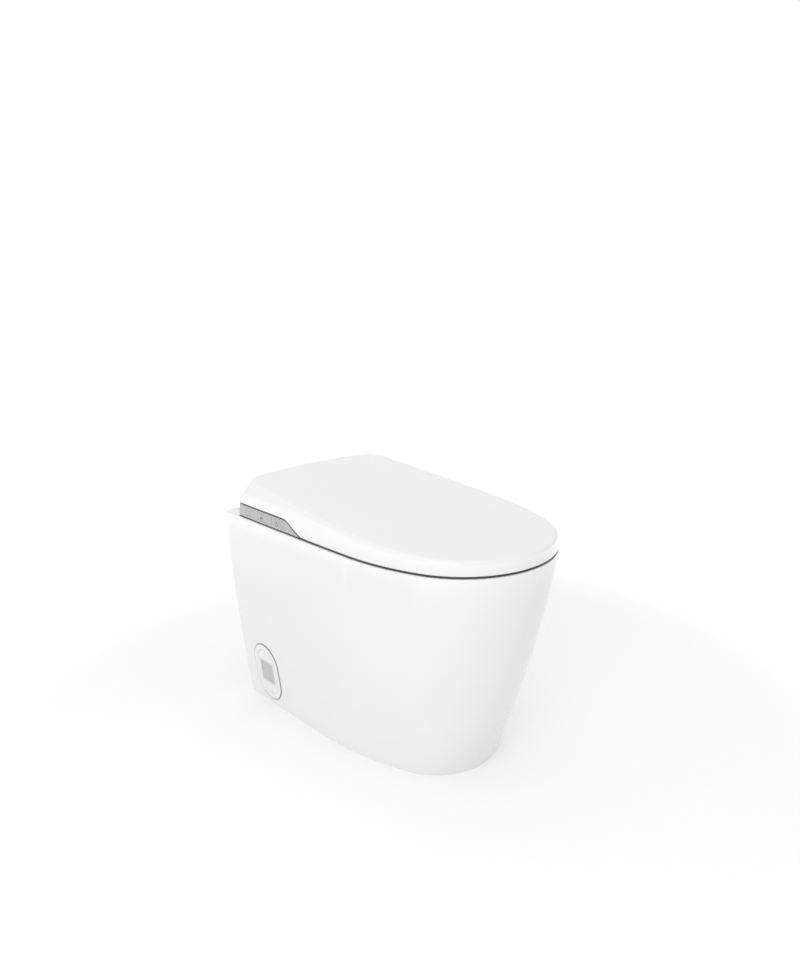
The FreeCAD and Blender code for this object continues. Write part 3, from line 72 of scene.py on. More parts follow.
def slow_ripple():
    """Node group for moulded and glazed skins.

    The height is the broad noise plus share times the fine noise, and the mask is the broad noise.
    """
    group = bpy.data.node_groups.new("slow_ripple", "ShaderNodeTree")
    group.interface.new_socket("Vector", in_out="INPUT", socket_type="NodeSocketVector")
    for name, value in (("Broad", 6.0), ("Fine", 220.0), ("Fine share", 0.1)):
        socket = group.interface.new_socket(name, in_out="INPUT", socket_type="NodeSocketFloat")
        socket.default_value = value
    group.interface.new_socket("Height", in_out="OUTPUT", socket_type="NodeSocketFloat")
    group.interface.new_socket("Mask", in_out="OUTPUT", socket_type="NodeSocketFloat")
    nodes, links = group.nodes, group.links
    entry = nodes.new("NodeGroupInput")
    broad = nodes.new("ShaderNodeTexNoise")
    broad.inputs["Detail"].default_value = 2.0
    fine = nodes.new("ShaderNodeTexNoise")
    fine.inputs["Detail"].default_value = 3.0
    share = nodes.new("ShaderNodeMath")
    share.operation = "MULTIPLY"
    total = nodes.new("ShaderNodeMath")
    total.operation = "ADD"
    leave = nodes.new("NodeGroupOutput")
    links.new(entry.outputs["Vector"], broad.inputs["Vector"])
    links.new(entry.outputs["Vector"], fine.inputs["Vector"])
    links.new(entry.outputs["Broad"], broad.inputs["Scale"])
    links.new(entry.outputs["Fine"], fine.inputs["Scale"])
    links.new(fine.outputs["Fac"], share.inputs[0])
    links.new(entry.outputs["Fine share"], share.inputs[1])
    links.new(broad.outputs["Fac"], total.inputs[0])
    links.new(share.outputs[0], total.inputs[1])
    links.new(total.outputs[0], leave.inputs["Height"])
    links.new(broad.outputs["Fac"], leave.inputs["Mask"])
    return group


RIPPLE = slow_ripple()
MASK_LOW, MASK_HIGH = 0.3, 0.7


def finish(name, colour, rough, spread=0.04, shade=0.02, broad=6.0, fine=220.0, fine_share=0.1,
           bump=0.03, reach=0.001, metal=0.0, coat=0.0, coat_rough=0.05):
    """A material whose colour and roughness vary with the ripple's mask, and whose bump is its height.

    The colour runs from colour * (1 - shade) where the mask is 0 to colour * (1 + shade) where it is 1,
    and the roughness from rough - spread at MASK_LOW to rough + spread at MASK_HIGH.
    """
    made = bpy.data.materials.new(name)
    made.use_nodes = True
    nodes, links = made.node_tree.nodes, made.node_tree.links
    shader = nodes["Principled BSDF"]
    where = nodes.new("ShaderNodeTexCoord")
    ripple = nodes.new("ShaderNodeGroup")
    ripple.node_tree = RIPPLE
    ripple.inputs["Broad"].default_value = broad
    ripple.inputs["Fine"].default_value = fine
    ripple.inputs["Fine share"].default_value = fine_share
    tone = nodes.new("ShaderNodeMix")
    tone.data_type = "RGBA"
    tone.inputs["A"].default_value = (*[c * (1 - shade) for c in colour], 1)
    tone.inputs["B"].default_value = (*[min(1.0, c * (1 + shade)) for c in colour], 1)
    gloss = nodes.new("ShaderNodeMapRange")
    gloss.inputs["From Min"].default_value = MASK_LOW
    gloss.inputs["From Max"].default_value = MASK_HIGH
    gloss.inputs["To Min"].default_value = max(0.02, rough - spread)
    gloss.inputs["To Max"].default_value = rough + spread
    rise = nodes.new("ShaderNodeBump")
    rise.inputs["Strength"].default_value = bump
    rise.inputs["Distance"].default_value = reach
    links.new(where.outputs["Object"], ripple.inputs["Vector"])
    links.new(ripple.outputs["Mask"], tone.inputs["Factor"])
    links.new(ripple.outputs["Mask"], gloss.inputs["Value"])
    links.new(ripple.outputs["Height"], rise.inputs["Height"])
    links.new(tone.outputs["Result"], shader.inputs["Base Color"])
    links.new(gloss.outputs["Result"], shader.inputs["Roughness"])
    links.new(rise.outputs["Normal"], shader.inputs["Normal"])
    shader.inputs["Metallic"].default_value = metal
    shader.inputs["Coat Weight"].default_value = coat
    shader.inputs["Coat Roughness"].default_value = coat_rough
    return made


# Points within MERGE_REACH metres are one, and facets within FLAT_WITHIN degrees are one flat.
MERGE_REACH, FLAT_WITHIN, EASED_OVER = 2e-6, 0.5, 35.0


def dress(node, material, crisp=32.0, ease=0.0):
    """Shows a CAD node as a merged copy, smooth up to the crisp angle in degrees.

    With ease, its flat regions are dissolved first, and its edges over EASED_OVER degrees get a bevel
    of that width in millimetres.
    """
    source = frame["nodes"][node]
    mesh = source.data.copy()
    work = bmesh.new()
    work.from_mesh(mesh)
    bmesh.ops.remove_doubles(work, verts=work.verts, dist=MERGE_REACH)
    if ease:
        bmesh.ops.dissolve_limit(work, angle_limit=math.radians(FLAT_WITHIN), verts=work.verts,
                                 edges=work.edges)
    work.to_mesh(mesh)
    work.free()
    if mesh.attributes.get("custom_normal"):
        mesh.attributes.remove(mesh.attributes["custom_normal"])
    mesh.polygons.foreach_set("use_smooth", np.ones(len(mesh.polygons), bool))
    mesh.set_sharp_from_angle(angle=math.radians(crisp))
    mesh.materials.clear()
    mesh.materials.append(material)
    piece = bpy.data.objects.new(node + "_dressed", mesh)
    scene.collection.objects.link(piece)
    if ease:
        bevel = piece.modifiers.new("ease", "BEVEL")
        bevel.width = ease / 1000
        bevel.segments = 2
        bevel.limit_method = "ANGLE"
        bevel.angle_limit = math.radians(EASED_OVER)
        bevel.harden_normals = True
    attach(piece, source["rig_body"])
    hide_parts(node)


glaze = finish("white_glaze", GLAZE_WHITE, 0.09, spread=0.02, shade=0.004, broad=9.0, fine=60.0,
               fine_share=0.15, bump=0.06, reach=0.0015, coat=0.25, coat_rough=0.03)
dress("ceramic_body", glaze, crisp=28.0)

# ---- service cover -----------------------------------------------------------------------
# An oval cover is let into the right flank near the floor. It is three mouldings of white
# plastic: a rounded bezel that clips into the china, a door, and a vent grille of square holes.
COVER_WHITE, DOOR_WHITE = (0.885, 0.888, 0.886), (0.87, 0.872, 0.872)
GRILLE_GREY = (0.66, 0.665, 0.665)
cover_skin = finish("cover_satin", COVER_WHITE, 0.22, fine=900.0, fine_share=0.4, bump=0.04,
                    reach=0.0004)
door_skin = finish("door_satin", DOOR_WHITE, 0.26, fine=900.0, fine_share=0.4, bump=0.04,
                   reach=0.0004)
grille_skin = finish("grille_matt", GRILLE_GREY, 0.45, fine=1200.0, fine_share=0.6, bump=0.06,
                     reach=0.0003)
dress("service_cover_bezel", cover_skin, crisp=50.0)
dress("service_cover_door", door_skin)
dress("service_cover_grille", grille_skin)

# A dark grey bead of painted shade lies in the joint round the bezel, where the gap is in shadow. It is
# set a little forward and up, so it shows most along the top and front. The cover's middle and the
# flank's directions there place it; COVER_OUT points away from the china.
COVER_MIDDLE = np.array([-145.598, 245.0, 72.0])
COVER_FORWARD = np.array([-0.03107, -0.99952, 0.0])
COVER_OUT = np.array([-0.99062, 0.0308, -0.13372])
COVER_UP = np.cross(COVER_OUT, COVER_FORWARD)
JOINT_R, JOINT_STRAIGHT = 42.5, 18.5
SHADE_BEAD_R, SHADE_BEAD_RISE = 0.75, 0.2
SHADE_BEAD_FORWARD, SHADE_BEAD_UP = 0.62, 0.3
# The grey of the painted shade in the bezel's joint.
BEZEL_SHADE_GREY = (0.2, 0.202, 0.203)
HALF_TURN_POINTS, BEAD_POINTS = 49, 10
WELD_REACH = 1e-6


def sweep_mesh(name, rings, loop=False, poles=None, crisp=40.0):
    """A closed skin over rings of equal count, in millimetres.

    Ring i, point k joins ring i + 1 and point k + 1 by a quad, and the points of a ring close on
    themselves. With loop the last ring meets the first; otherwise each end is one flat face, or a fan
    to its pole.
    """
    rings = np.asarray(rings)
    count, columns = rings.shape[:2]
    points = rings.reshape(-1, 3)
    row = np.arange(count if loop else count - 1)[:, None]
    column = np.arange(columns)[None, :]
    after = (column + 1) % columns
    ahead = (row + 1) % count
    quads = np.stack([row * columns + column, row * columns + after, ahead * columns + after,
                      ahead * columns + column], -1)
    faces = quads.reshape(-1, 4).tolist()
    ends = (np.arange(columns), (count - 1) * columns + np.arange(columns))
    if poles is not None:
        for ring, pole in zip(ends, poles):
            tip = np.full(columns, len(points))
            points = np.concatenate([points, [pole]])
            faces += np.stack([ring, np.roll(ring, -1), tip], 1).tolist()
    elif not loop:
        faces += [ends[0].tolist(), ends[1].tolist()]
    mesh = bpy.data.meshes.new(name)
    mesh.from_pydata((points / 1000).tolist(), [], faces)
    work = bmesh.new()
    work.from_mesh(mesh)
    bmesh.ops.remove_doubles(work, verts=work.verts, dist=WELD_REACH)
    bmesh.ops.recalc_face_normals(work, faces=work.faces)
    work.to_mesh(mesh)
    work.free()
    mesh.polygons.foreach_set("use_smooth", np.ones(len(mesh.polygons), bool))
    mesh.set_sharp_from_angle(angle=math.radians(crisp))
    piece = bpy.data.objects.new(name, mesh)
    scene.collection.objects.link(piece)
    return piece


def joint_shade_bead():
    """A round bead of painted shade on an obround: two half circles in the flank's frame, set a little
    forward and up.

    The path is middle + R (forward cos t + up sin t), lifted by the straight's half length on the upper
    half turn and lowered by it on the other. The bead adds r (side cos a + out sin a).
    """
    half = np.linspace(0.0, np.pi, HALF_TURN_POINTS)
    turn = np.concatenate([half, half + np.pi])
    lift = np.repeat([JOINT_STRAIGHT, -JOINT_STRAIGHT], HALF_TURN_POINTS)
    side = np.outer(np.cos(turn), COVER_FORWARD) + np.outer(np.sin(turn), COVER_UP)
    path = (COVER_MIDDLE + SHADE_BEAD_FORWARD * COVER_FORWARD + SHADE_BEAD_UP * COVER_UP
            + SHADE_BEAD_RISE * COVER_OUT + JOINT_R * side + np.outer(lift, COVER_UP))
    around = np.linspace(0.0, 2 * np.pi, BEAD_POINTS, endpoint=False)
    section = (np.cos(around)[None, :, None] * side[:, None, :]
               + np.sin(around)[None, :, None] * COVER_OUT[None, None, :])
    return path[:, None, :] + SHADE_BEAD_R * section


# The bead is painted shade: a dark ring where the bezel's joint lies in shadow.
bezel_shade = sweep_mesh("service_cover_joint_shade", joint_shade_bead(), loop=True)
bezel_shade_skin = finish("bezel_painted_shade_grey", BEZEL_SHADE_GREY, 0.55, fine=900.0, fine_share=0.5, bump=0.1,
                     reach=0.0003)
bezel_shade.data.materials.append(bezel_shade_skin)
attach(bezel_shade, "pedestal")

# ---- wash unit's housing -----------------------------------------------------------------
# The unit bolts to the china's deck. A white tray and a crowned white cover close it, and a
# satin grey panel with four keys is the side that shows under the lid.
UNIT_WHITE, TRAY_WHITE = (0.84, 0.845, 0.85), (0.78, 0.785, 0.79)
PANEL_GREY = (0.468, 0.472, 0.462)
unit_skin = finish("unit_satin", UNIT_WHITE, 0.24, fine=700.0, fine_share=0.4, bump=0.05, reach=0.0004)
tray_skin = finish("tray_matt", TRAY_WHITE, 0.42, fine=700.0, fine_share=0.5, bump=0.08, reach=0.0004)
panel_skin = finish("panel_satin_grey", PANEL_GREY, 0.36, spread=0.03, shade=0.05, broad=350.0,
                    fine=2600.0, fine_share=1.2, bump=0.12, reach=0.0003)
dress("unit_cover", unit_skin)
dress("unit_base", tray_skin)
for panel in ("control_panel_plate", "left_side_panel"):
    dress(panel, panel_skin, ease=0.35)
for key in ("rear_wash_key", "front_wash_key", "dryer_key", "flush_key"):
    dress(key, panel_skin, ease=0.25)

# The marks are flat printed lines on the face of the panel, whose plan is a long arc.
PLAN_HALF, PLAN_NARROWING, FLANK_END = 183.0, 7.0, 400.0
FLANK_R = (FLANK_END ** 2 + PLAN_NARROWING ** 2) / (2 * PLAN_NARROWING)
PANEL_INSET = 4.0
PRINT_RISE, PRINT_SINK = 0.07, 0.2


def flank_x(s, inset):
    """Half of the plan's width at s, drawn in by inset.

    It is PLAN_HALF - FLANK_R plus the root of (FLANK_R - inset)^2 - (FLANK_END - s)^2.
    """
    return PLAN_HALF - FLANK_R + np.sqrt((FLANK_R - inset) ** 2 - (FLANK_END - s) ** 2)


def printed_stroke(name, path, width, closed, body, ink):
    """A flat printed line on the key panel's face: a strip of width about a path of (s, z) points.

    Each point moves half the width both ways along its own normal, and the strip's outer face follows
    the panel's curve, PRINT_RISE proud of it.
    """
    path = np.asarray(path, float)
    if closed:
        along = np.roll(path, -1, 0) - np.roll(path, 1, 0)
    else:
        along = np.gradient(path, axis=0)
    along /= np.linalg.norm(along, axis=1)[:, None]
    normal = np.column_stack([-along[:, 1], along[:, 0]]) * width / 2
    rings = []
    for side, rise in ((1, PRINT_RISE), (-1, PRINT_RISE), (-1, -PRINT_SINK), (1, -PRINT_SINK)):
        s, z = (path + side * normal).T
        rings.append(np.column_stack([-flank_x(s, PANEL_INSET - rise), REAR_Y - s, z]))
    piece = sweep_mesh(name, np.stack(rings, 1), loop=closed)
    piece.data.materials.append(ink)
    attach(piece, body)


# Each mark is a path of (s, z) about its place, on a line a little below the keys' middle.
MARK_LINE = 411.8
REAR_WASH_AT, FRONT_WASH_AT, DRYER_AT, FLUSH_AT = ((s, MARK_LINE) for s in (96.0, 136.0, 188.0, 207.0))
DIVIDER_AT = (171.0, MARK_LINE)
RING_REACH, RING_FROM, RING_TO, RING_POINTS = (4.4, 3.4), 40.0, 320.0, 25
WAVE = np.array([(-5.2, 0.7), (-2.0, 1.1), (4.4, 1.1), (3.6, 2.0), (0.6, 4.2)])
DIVIDER = np.array([(0.0, -6.0), (0.0, 6.0)])
PEAK = np.array([(-4.4, -4.0), (-0.6, 3.6), (0.6, 3.6), (4.4, -4.0)])
SPOT_R, SPOT_DROP, SPOT_POINTS = 1.0, (0.0, -1.5), 20
RING_WIDTH, WAVE_WIDTH, DIVIDER_WIDTH, PEAK_WIDTH, SPOT_WIDTH = 0.9, 1.2, 0.7, 1.1, 0.8
MARK_DARK, MARK_PALE = (0.07, 0.071, 0.072), (0.24, 0.243, 0.24)
print_skin = finish("print_dark_grey", MARK_DARK, 0.4, fine=2000.0, fine_share=0.4, bump=0.04,
                    reach=0.0002)
pale_print = finish("print_mid_grey", MARK_PALE, 0.4, fine=2000.0, fine_share=0.4, bump=0.04,
                    reach=0.0002)
turn = np.radians(np.linspace(RING_FROM, RING_TO, RING_POINTS))
ring = np.column_stack([np.cos(turn), np.sin(turn)]) * RING_REACH
printed_stroke("rear_wash_mark", REAR_WASH_AT + ring, RING_WIDTH, False, "rear_wash_button", pale_print)
for name, way in (("front_wash_mark_a", 1.0), ("front_wash_mark_b", -1.0)):
    wave = FRONT_WASH_AT + way * WAVE
    printed_stroke(name, wave, WAVE_WIDTH, False, "front_wash_button", print_skin)
printed_stroke("panel_divider", DIVIDER_AT + DIVIDER, DIVIDER_WIDTH, False, "pedestal", pale_print)
printed_stroke("dryer_mark", DRYER_AT + PEAK, PEAK_WIDTH, False, "dryer_button", print_skin)
turn = np.linspace(0, 2 * math.pi, SPOT_POINTS, endpoint=False)
spot = np.column_stack([np.cos(turn), np.sin(turn)]) * SPOT_R + SPOT_DROP
printed_stroke("flush_mark", FLUSH_AT + spot, SPOT_WIDTH, True, "flush_button", pale_print)

# A dark strip of painted shade fills the joint between each side panel and the rim, where the gap lies
# in shadow.
SHADE_STRIP_LOW, SHADE_STRIP_TOP = 399.97, 402.0
SHADE_STRIP_OUTER, SHADE_STRIP_INNER = 3.3, 3.97
SHADE_STRIP_FROM, SHADE_STRIP_TO, SHADE_STRIP_POINTS = 57.5, 262.0, 40
# The near-black of the painted shade under the side panels and under the lid's edge.
PAINTED_SHADE_GREY = (0.028, 0.029, 0.03)
painted_shade_skin = finish("painted_shade_dark_grey", PAINTED_SHADE_GREY, 0.55, fine=900.0, fine_share=0.5, bump=0.1,
                   reach=0.0003)
along = np.linspace(SHADE_STRIP_FROM, SHADE_STRIP_TO, SHADE_STRIP_POINTS)
for name, side in (("panel_shade_strip_right", -1), ("panel_shade_strip_left", 1)):
    edges = [np.column_stack([side * flank_x(along, inset), REAR_Y - along, np.full_like(along, z)])
             for inset, z in ((SHADE_STRIP_OUTER, SHADE_STRIP_LOW), (SHADE_STRIP_INNER, SHADE_STRIP_LOW),
                              (SHADE_STRIP_INNER, SHADE_STRIP_TOP), (SHADE_STRIP_OUTER, SHADE_STRIP_TOP))]
    shade_strip = sweep_mesh(name, np.stack(edges, 1))
    shade_strip.data.materials.append(painted_shade_skin)
    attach(shade_strip, "pedestal")

# ---- works inside the unit ---------------------------------------------------------------
# Under the cover sit the wands and their carrier, two blowers, the flow heater, the boards
# and the soft-close dampers. Mouldings are plain, motors are plated steel cans.
BOARD_GREEN = (0.03, 0.15, 0.07)
board_skin = finish("board_green", BOARD_GREEN, 0.35, broad=40.0, fine=900.0, bump=0.08, reach=0.0003)
for board in ("key_switch_board", "main_circuit_board"):
    dress(board, board_skin)
STEEL = (0.56, 0.56, 0.55)
steel = finish("ground_steel", STEEL, 0.28, spread=0.08, broad=60.0, fine=1500.0, bump=0.05,
               reach=0.0002, metal=1.0)
for node, slot in (("hinge_pins", "pin_steel"), ("dryer_flap_pin", "pin_steel"),
                   ("wand_motors", "motor_steel"), ("dryer_motor", "motor_steel"),
                   ("deodoriser_motor", "motor_steel"), ("cover_screws", "screw_steel"),
                   ("unit_bolts", "screw_steel"), ("service_plate", "plate_steel")):
    dress(node, steel)
DARK_GREY = (0.035, 0.037, 0.04)
dark = finish("dark_moulding", DARK_GREY, 0.4, fine=900.0, fine_share=0.5, bump=0.08, reach=0.0004)
for node, slot in (("hinge_damper_left", "damper_plastic"), ("hinge_damper_right", "damper_plastic"),
                   ("dryer_fan_wheel", "rotor_plastic"), ("deodoriser_fan_wheel", "rotor_plastic"),
                   ("flush_pump", "pump_plastic"), ("power_gland", "gland_plastic"),
                   ("power_supply", "supply_box_plastic"), ("flush_hose", "flush_hose_rubber")):
    dress(node, dark)
WAND_WHITE, SPRAY_BLUE = (0.8, 0.81, 0.82), (0.55, 0.62, 0.68)
wand_skin = finish("wand_polished", WAND_WHITE, 0.12, fine=500.0, bump=0.03, reach=0.0003, coat=0.3)
for node in ("rear_wash_wand", "front_wash_wand"):
    dress(node, wand_skin)
spray_skin = finish("spray_head_polished", SPRAY_BLUE, 0.12, fine=500.0, bump=0.03, reach=0.0003,
                    coat=0.3)
for node in ("rear_wash_spray_head", "front_wash_spray_head"):
    dress(node, spray_skin)
ACETAL = (0.75, 0.73, 0.66)
acetal = finish("acetal_gear", ACETAL, 0.3, fine=900.0, bump=0.04, reach=0.0003)
for node in ("rear_wash_pinion", "front_wash_pinion"):
    dress(node, acetal)
INNER_GREY = (0.6, 0.61, 0.62)
inner_skin = finish("inner_moulding", INNER_GREY, 0.4, fine=900.0, fine_share=0.5, bump=0.07,
                    reach=0.0004)
for node, slot in (("wand_guide", "guide_plastic"), ("dryer_blower_housing", "housing_plastic"),
                   ("deodoriser_blower_housing", "housing_plastic"), ("dryer_flap", "flap_plastic"),
                   ("inlet_valve", "valve_plastic"), ("supply_hose", "supply_hose_rubber")):
    dress(node, inner_skin)
ALLOY, BRASS, TANK_MILKY = (0.7, 0.7, 0.71), (0.72, 0.55, 0.26), (0.74, 0.75, 0.73)
alloy = finish("cast_alloy", ALLOY, 0.42, fine=800.0, fine_share=0.8, bump=0.2, reach=0.0004,
               metal=1.0)
dress("instant_heater", alloy)
brass = finish("turned_brass", BRASS, 0.25, broad=80.0, fine=900.0, bump=0.05, reach=0.0002,
               metal=1.0)
dress("water_inlet_nipple", brass)
tank_skin = finish("tank_natural", TANK_MILKY, 0.35, broad=20.0, fine=300.0, bump=0.12, reach=0.001)
dress("flush_tank", tank_skin)

# ---- seat --------------------------------------------------------------------------------
# The seat is a hollow moulding: a smooth white top shell with the heating foil under it, a
# base plate welded in from below, and four soft bumpers that rest on the rim.
SEAT_WHITE, COPPER_FOIL, PALE_RUBBER = (0.86, 0.865, 0.865), (0.5, 0.2, 0.08), (0.62, 0.63, 0.63)
seat_skin = finish("seat_white", SEAT_WHITE, 0.2, spread=0.03, shade=0.005, fine=500.0,
                   fine_share=0.2, bump=0.03, reach=0.0005)
dress("seat_top_shell", seat_skin)
dress("seat_base_plate", tray_skin)
foil = finish("heater_foil", COPPER_FOIL, 0.3, broad=50.0, fine=1200.0, bump=0.1, reach=0.0002,
              metal=0.6)
dress("seat_heating_mat", foil)
rubber = finish("pale_rubber", PALE_RUBBER, 0.6, fine=900.0, fine_share=0.6, bump=0.12, reach=0.0004)
dress("seat_bumpers", rubber)

# ---- lid ---------------------------------------------------------------------------------
# The lid is a deep cover of white plastic. Its skirt wraps the seat and is cut away over the
# key panel, and it rolls over a soft crease into a top that is crowned and falls to the front.
LID_SKIN, LID_EDGE, CREASE_REACH = 3.5, 1.4, 6.5
LID_WHITE, LINER_WHITE = (0.88, 0.883, 0.883), (0.84, 0.845, 0.85)
# The top: its height at s = 0, its fall forward per millimetre, and its radius across.
CROWN_Z, CROWN_FALL, CROWN_R = 490.0, 0.09364, 1514.0
# The lower edge: over the panel, along the rim, and the diagonal that joins them.
PANEL_LINE, RIM_LINE = 428.0, 403.0
DIAGONAL_S, DIAGONAL_RUN = 222.55, 1.692
SOFT_CORNER = 2.0
# The outline in plan, the skirt's lean from its widest line, and the rear corners' growth with height.
LID_REAR, LID_NOSE, NOSE_R = 52.0, 660.0, 167.0
WIDEST_Z, WIDEST_INSET = 416.0, 1.0
LEAN_ABOVE, LEAN_HEIGHT = 21.0, 77.0
LEAN_BELOW, LEAN_DEPTH = 1.6, 17.0
CORNER_R, CORNER_GROWTH, CORNER_HEIGHT = 14.0, 34.0, 78.0
TOP_MIDDLE, CORNER_DROP = 350.0, 10.0
TOP_CORNER_Z = CROWN_Z - CROWN_FALL * LID_REAR - CORNER_DROP
# How finely the shell is drawn: points per stretch of the outline, and rings per stretch of the wall.
OUTLINE_POINTS = (14, 22, 150, 40, 60)
OUTER_ROWS, INNER_ROWS = 14, 6
CREASE_STEPS, TOP_STEPS, TOP_END = 9, 15, 0.97
# A ring's inset and its height depend on each other: a first guess, and the repeats that settle them.
FIRST_INSET, REPEATS = 3.0, 6


def corner_radius(z):
    """Radius of the lid's rear corners: CORNER_R up to the widest line, and a parabola of z above it."""
    return CORNER_R + CORNER_GROWTH * (max(z - WIDEST_Z, 0.0) / CORNER_HEIGHT) ** 2


def plan_ring(inset, corner):
    """The lid's outline of tangent arcs, drawn in by inset (one value per column or one for all).

    Each arc is centre plus radius times (cos, sin) of a turn that grows evenly. The outline runs from
    the middle of the rear, round one side of the plan to the nose, and back on the other side as its
    mirror image.
    """
    back_n, corner_n, flank_n, shoulder_n, nose_n = OUTLINE_POINTS
    nose = LID_NOSE - FLANK_END
    shoulder_r = (2 * nose * NOSE_R - nose ** 2 - PLAN_HALF ** 2) / (2 * (NOSE_R - PLAN_HALF))
    corner_s = LID_REAR + corner
    flank_mid = PLAN_HALF - FLANK_R
    corner_x = flank_mid + math.sqrt((FLANK_R - corner) ** 2 - (FLANK_END - corner_s) ** 2)
    flank_turn = math.atan2(corner_s - FLANK_END, corner_x - flank_mid)
    shoulder_turn = math.atan2(LID_NOSE - NOSE_R - FLANK_END, shoulder_r - PLAN_HALF)
    arcs = ((corner_x, corner_s, corner, -math.pi / 2, flank_turn, corner_n),
            (flank_mid, FLANK_END, FLANK_R, flank_turn, 0.0, flank_n),
            (PLAN_HALF - shoulder_r, FLANK_END, shoulder_r, 0.0, shoulder_turn, shoulder_n),
            (0.0, LID_NOSE - NOSE_R, NOSE_R, shoulder_turn, math.pi / 2, nose_n))
    turns = [np.full(back_n, -math.pi / 2)]
    centre_x = [np.linspace(0, corner_x, back_n, endpoint=False)]
    centre_s = [np.full(back_n, corner_s)]
    radius = [np.full(back_n, corner)]
    for x, s, r, begin, end, count in arcs:
        turns.append(np.linspace(begin, end, count, endpoint=False))
        centre_x.append(np.full(count, x))
        centre_s.append(np.full(count, s))
        radius.append(np.full(count, r))
    stretches = (turns, centre_x, centre_s, radius)
    turns, centre_x, centre_s, radius = (np.concatenate(part) for part in stretches)
    turns = np.concatenate([turns, [math.pi / 2], math.pi - turns[:0:-1]])
    radius = np.concatenate([radius, [NOSE_R], radius[:0:-1]])
    centre_s = np.concatenate([centre_s, [LID_NOSE - NOSE_R], centre_s[:0:-1]])
    centre_x = np.concatenate([centre_x, [0.0], -centre_x[:0:-1]])
    return centre_x + (radius - inset) * np.cos(turns), centre_s + (radius - inset) * np.sin(turns)


def soft_low(a, b, reach):
    """The lower of two heights a and b, rounded: half of a + b - sqrt((a - b)^2 + 4 reach^2)."""
    return (a + b - np.sqrt((a - b) ** 2 + 4 * reach ** 2)) / 2


def crown(x, s, drop):
    """Height of the lid's top, lowered by drop: a straight fall forward less x^2 / 2R across."""
    return CROWN_Z - drop - CROWN_FALL * s - x ** 2 / (2 * CROWN_R)


def lean(z):
    """How far the lid's skirt is drawn in at height z: one parabola above its widest line, one below."""
    above = LEAN_ABOVE * ((z - WIDEST_Z) / LEAN_HEIGHT) ** 2
    below = LEAN_BELOW * ((z - WIDEST_Z) / LEAN_DEPTH) ** 2
    return WIDEST_INSET + np.where(z > WIDEST_Z, above, below)


def lower_edge(s):
    """Height of the skirt's lower edge: over the panel, down the diagonal, then along the rim.

    It is the lower of the panel's line and the diagonal, and then the higher of that and the rim's line,
    each with its corner rounded.
    """
    diagonal = PANEL_LINE - (s - DIAGONAL_S) / DIAGONAL_RUN
    rear = soft_low(diagonal, np.full_like(s, PANEL_LINE), SOFT_CORNER)
    return -soft_low(-rear, np.full_like(s, -RIM_LINE), SOFT_CORNER)


def ring_at(z_of, skin, rear_z):
    """A ring whose height is z_of(x, s) and whose inset leans with that height, found by repeats."""
    corner = corner_radius(rear_z) + float(lean(rear_z))
    inset = np.full(1, FIRST_INSET)
    for _ in range(REPEATS):
        x, s = plan_ring(inset + skin, corner)
        z = z_of(x, s)
        inset = lean(z)
    return np.column_stack([x, s, z]), inset, corner


def lid_layer(skin, rows, inward):
    """Rings from the skirt's lower edge over the crease to the middle of the top, set in by skin.

    The skirt leans in with lean(z). The crease is the quadratic curve (1 - u)^2 under + 2u (1 - u) edge
    + u^2 behind, and the top's rings shrink towards the middle while they follow the crown.
    """
    edge, edge_in, edge_corner = ring_at(lambda x, s: crown(x, s, skin), skin, TOP_CORNER_Z)
    rings = []
    for share in np.linspace(0.0, 1.0, rows):
        def height(x, s):
            base = lower_edge(s)
            return base + (crown(x, s, skin) - CREASE_REACH - base) * share
        rings.append(ring_at(height, skin, PANEL_LINE + (TOP_CORNER_Z - PANEL_LINE) * share)[0])
    under = rings[-1]
    bx, bs = plan_ring(edge_in + skin + CREASE_REACH, edge_corner)
    behind = np.stack([bx, bs, crown(bx, bs, skin)], 1)
    for u in np.linspace(0.0, 1.0, CREASE_STEPS)[1:]:
        rings.append((1 - u) ** 2 * under + 2 * u * (1 - u) * edge + u ** 2 * behind)
    middle = np.array([0.0, TOP_MIDDLE])
    for share in np.linspace(0.0, TOP_END, TOP_STEPS)[1:]:
        flat = middle + (behind[:, :2] - middle) * (1 - share)
        rings.append(np.column_stack([flat, crown(flat[:, 0], flat[:, 1], skin)]))
    return rings[::-1] if inward else rings


def to_frame(rings):
    """Rings of (x, s, z) carried into the frame's own axes, where y is REAR_Y less s."""
    return np.stack(rings) * np.array([1.0, -1.0, 1.0]) + np.array([0.0, REAR_Y, 0.0])


# The two walls end LID_EDGE above the lower edge, and two rings between them make its rounded foot.
FLAT_FROM, FLAT_TO = 0.3, 0.7
outside = lid_layer(0.0, OUTER_ROWS, False)
inside = lid_layer(LID_SKIN, INNER_ROWS, True)
outer_foot, inner_foot = outside[0], inside[-1]
lift = np.array([0.0, 0.0, LID_EDGE])
outside[0] = outer_foot + lift
foot = [inner_foot + lift, inner_foot + (outer_foot - inner_foot) * FLAT_FROM,
        inner_foot + (outer_foot - inner_foot) * FLAT_TO]
lid_rings = to_frame(inside[:-1] + foot + outside)
poles = [(0.0, REAR_Y - TOP_MIDDLE, crown(0.0, TOP_MIDDLE, skin)) for skin in (LID_SKIN, 0.0)]
lid = sweep_mesh("lid_outer_shell", lid_rings, poles=poles, crisp=60.0)
lid_skin = finish("lid_gloss_white", LID_WHITE, 0.16, spread=0.03, shade=0.004, broad=7.0,
                  fine=400.0, fine_share=0.08, bump=0.03, reach=0.0008, coat=0.2)
lid.data.materials.append(lid_skin)
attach(lid, "lid")
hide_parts("lid_shell")
liner_skin = finish("liner_satin", LINER_WHITE, 0.25, fine=600.0, fine_share=0.3, bump=0.04,
                    reach=0.0005)
dress("lid_liner", liner_skin)
dress("lid_bumpers", rubber)

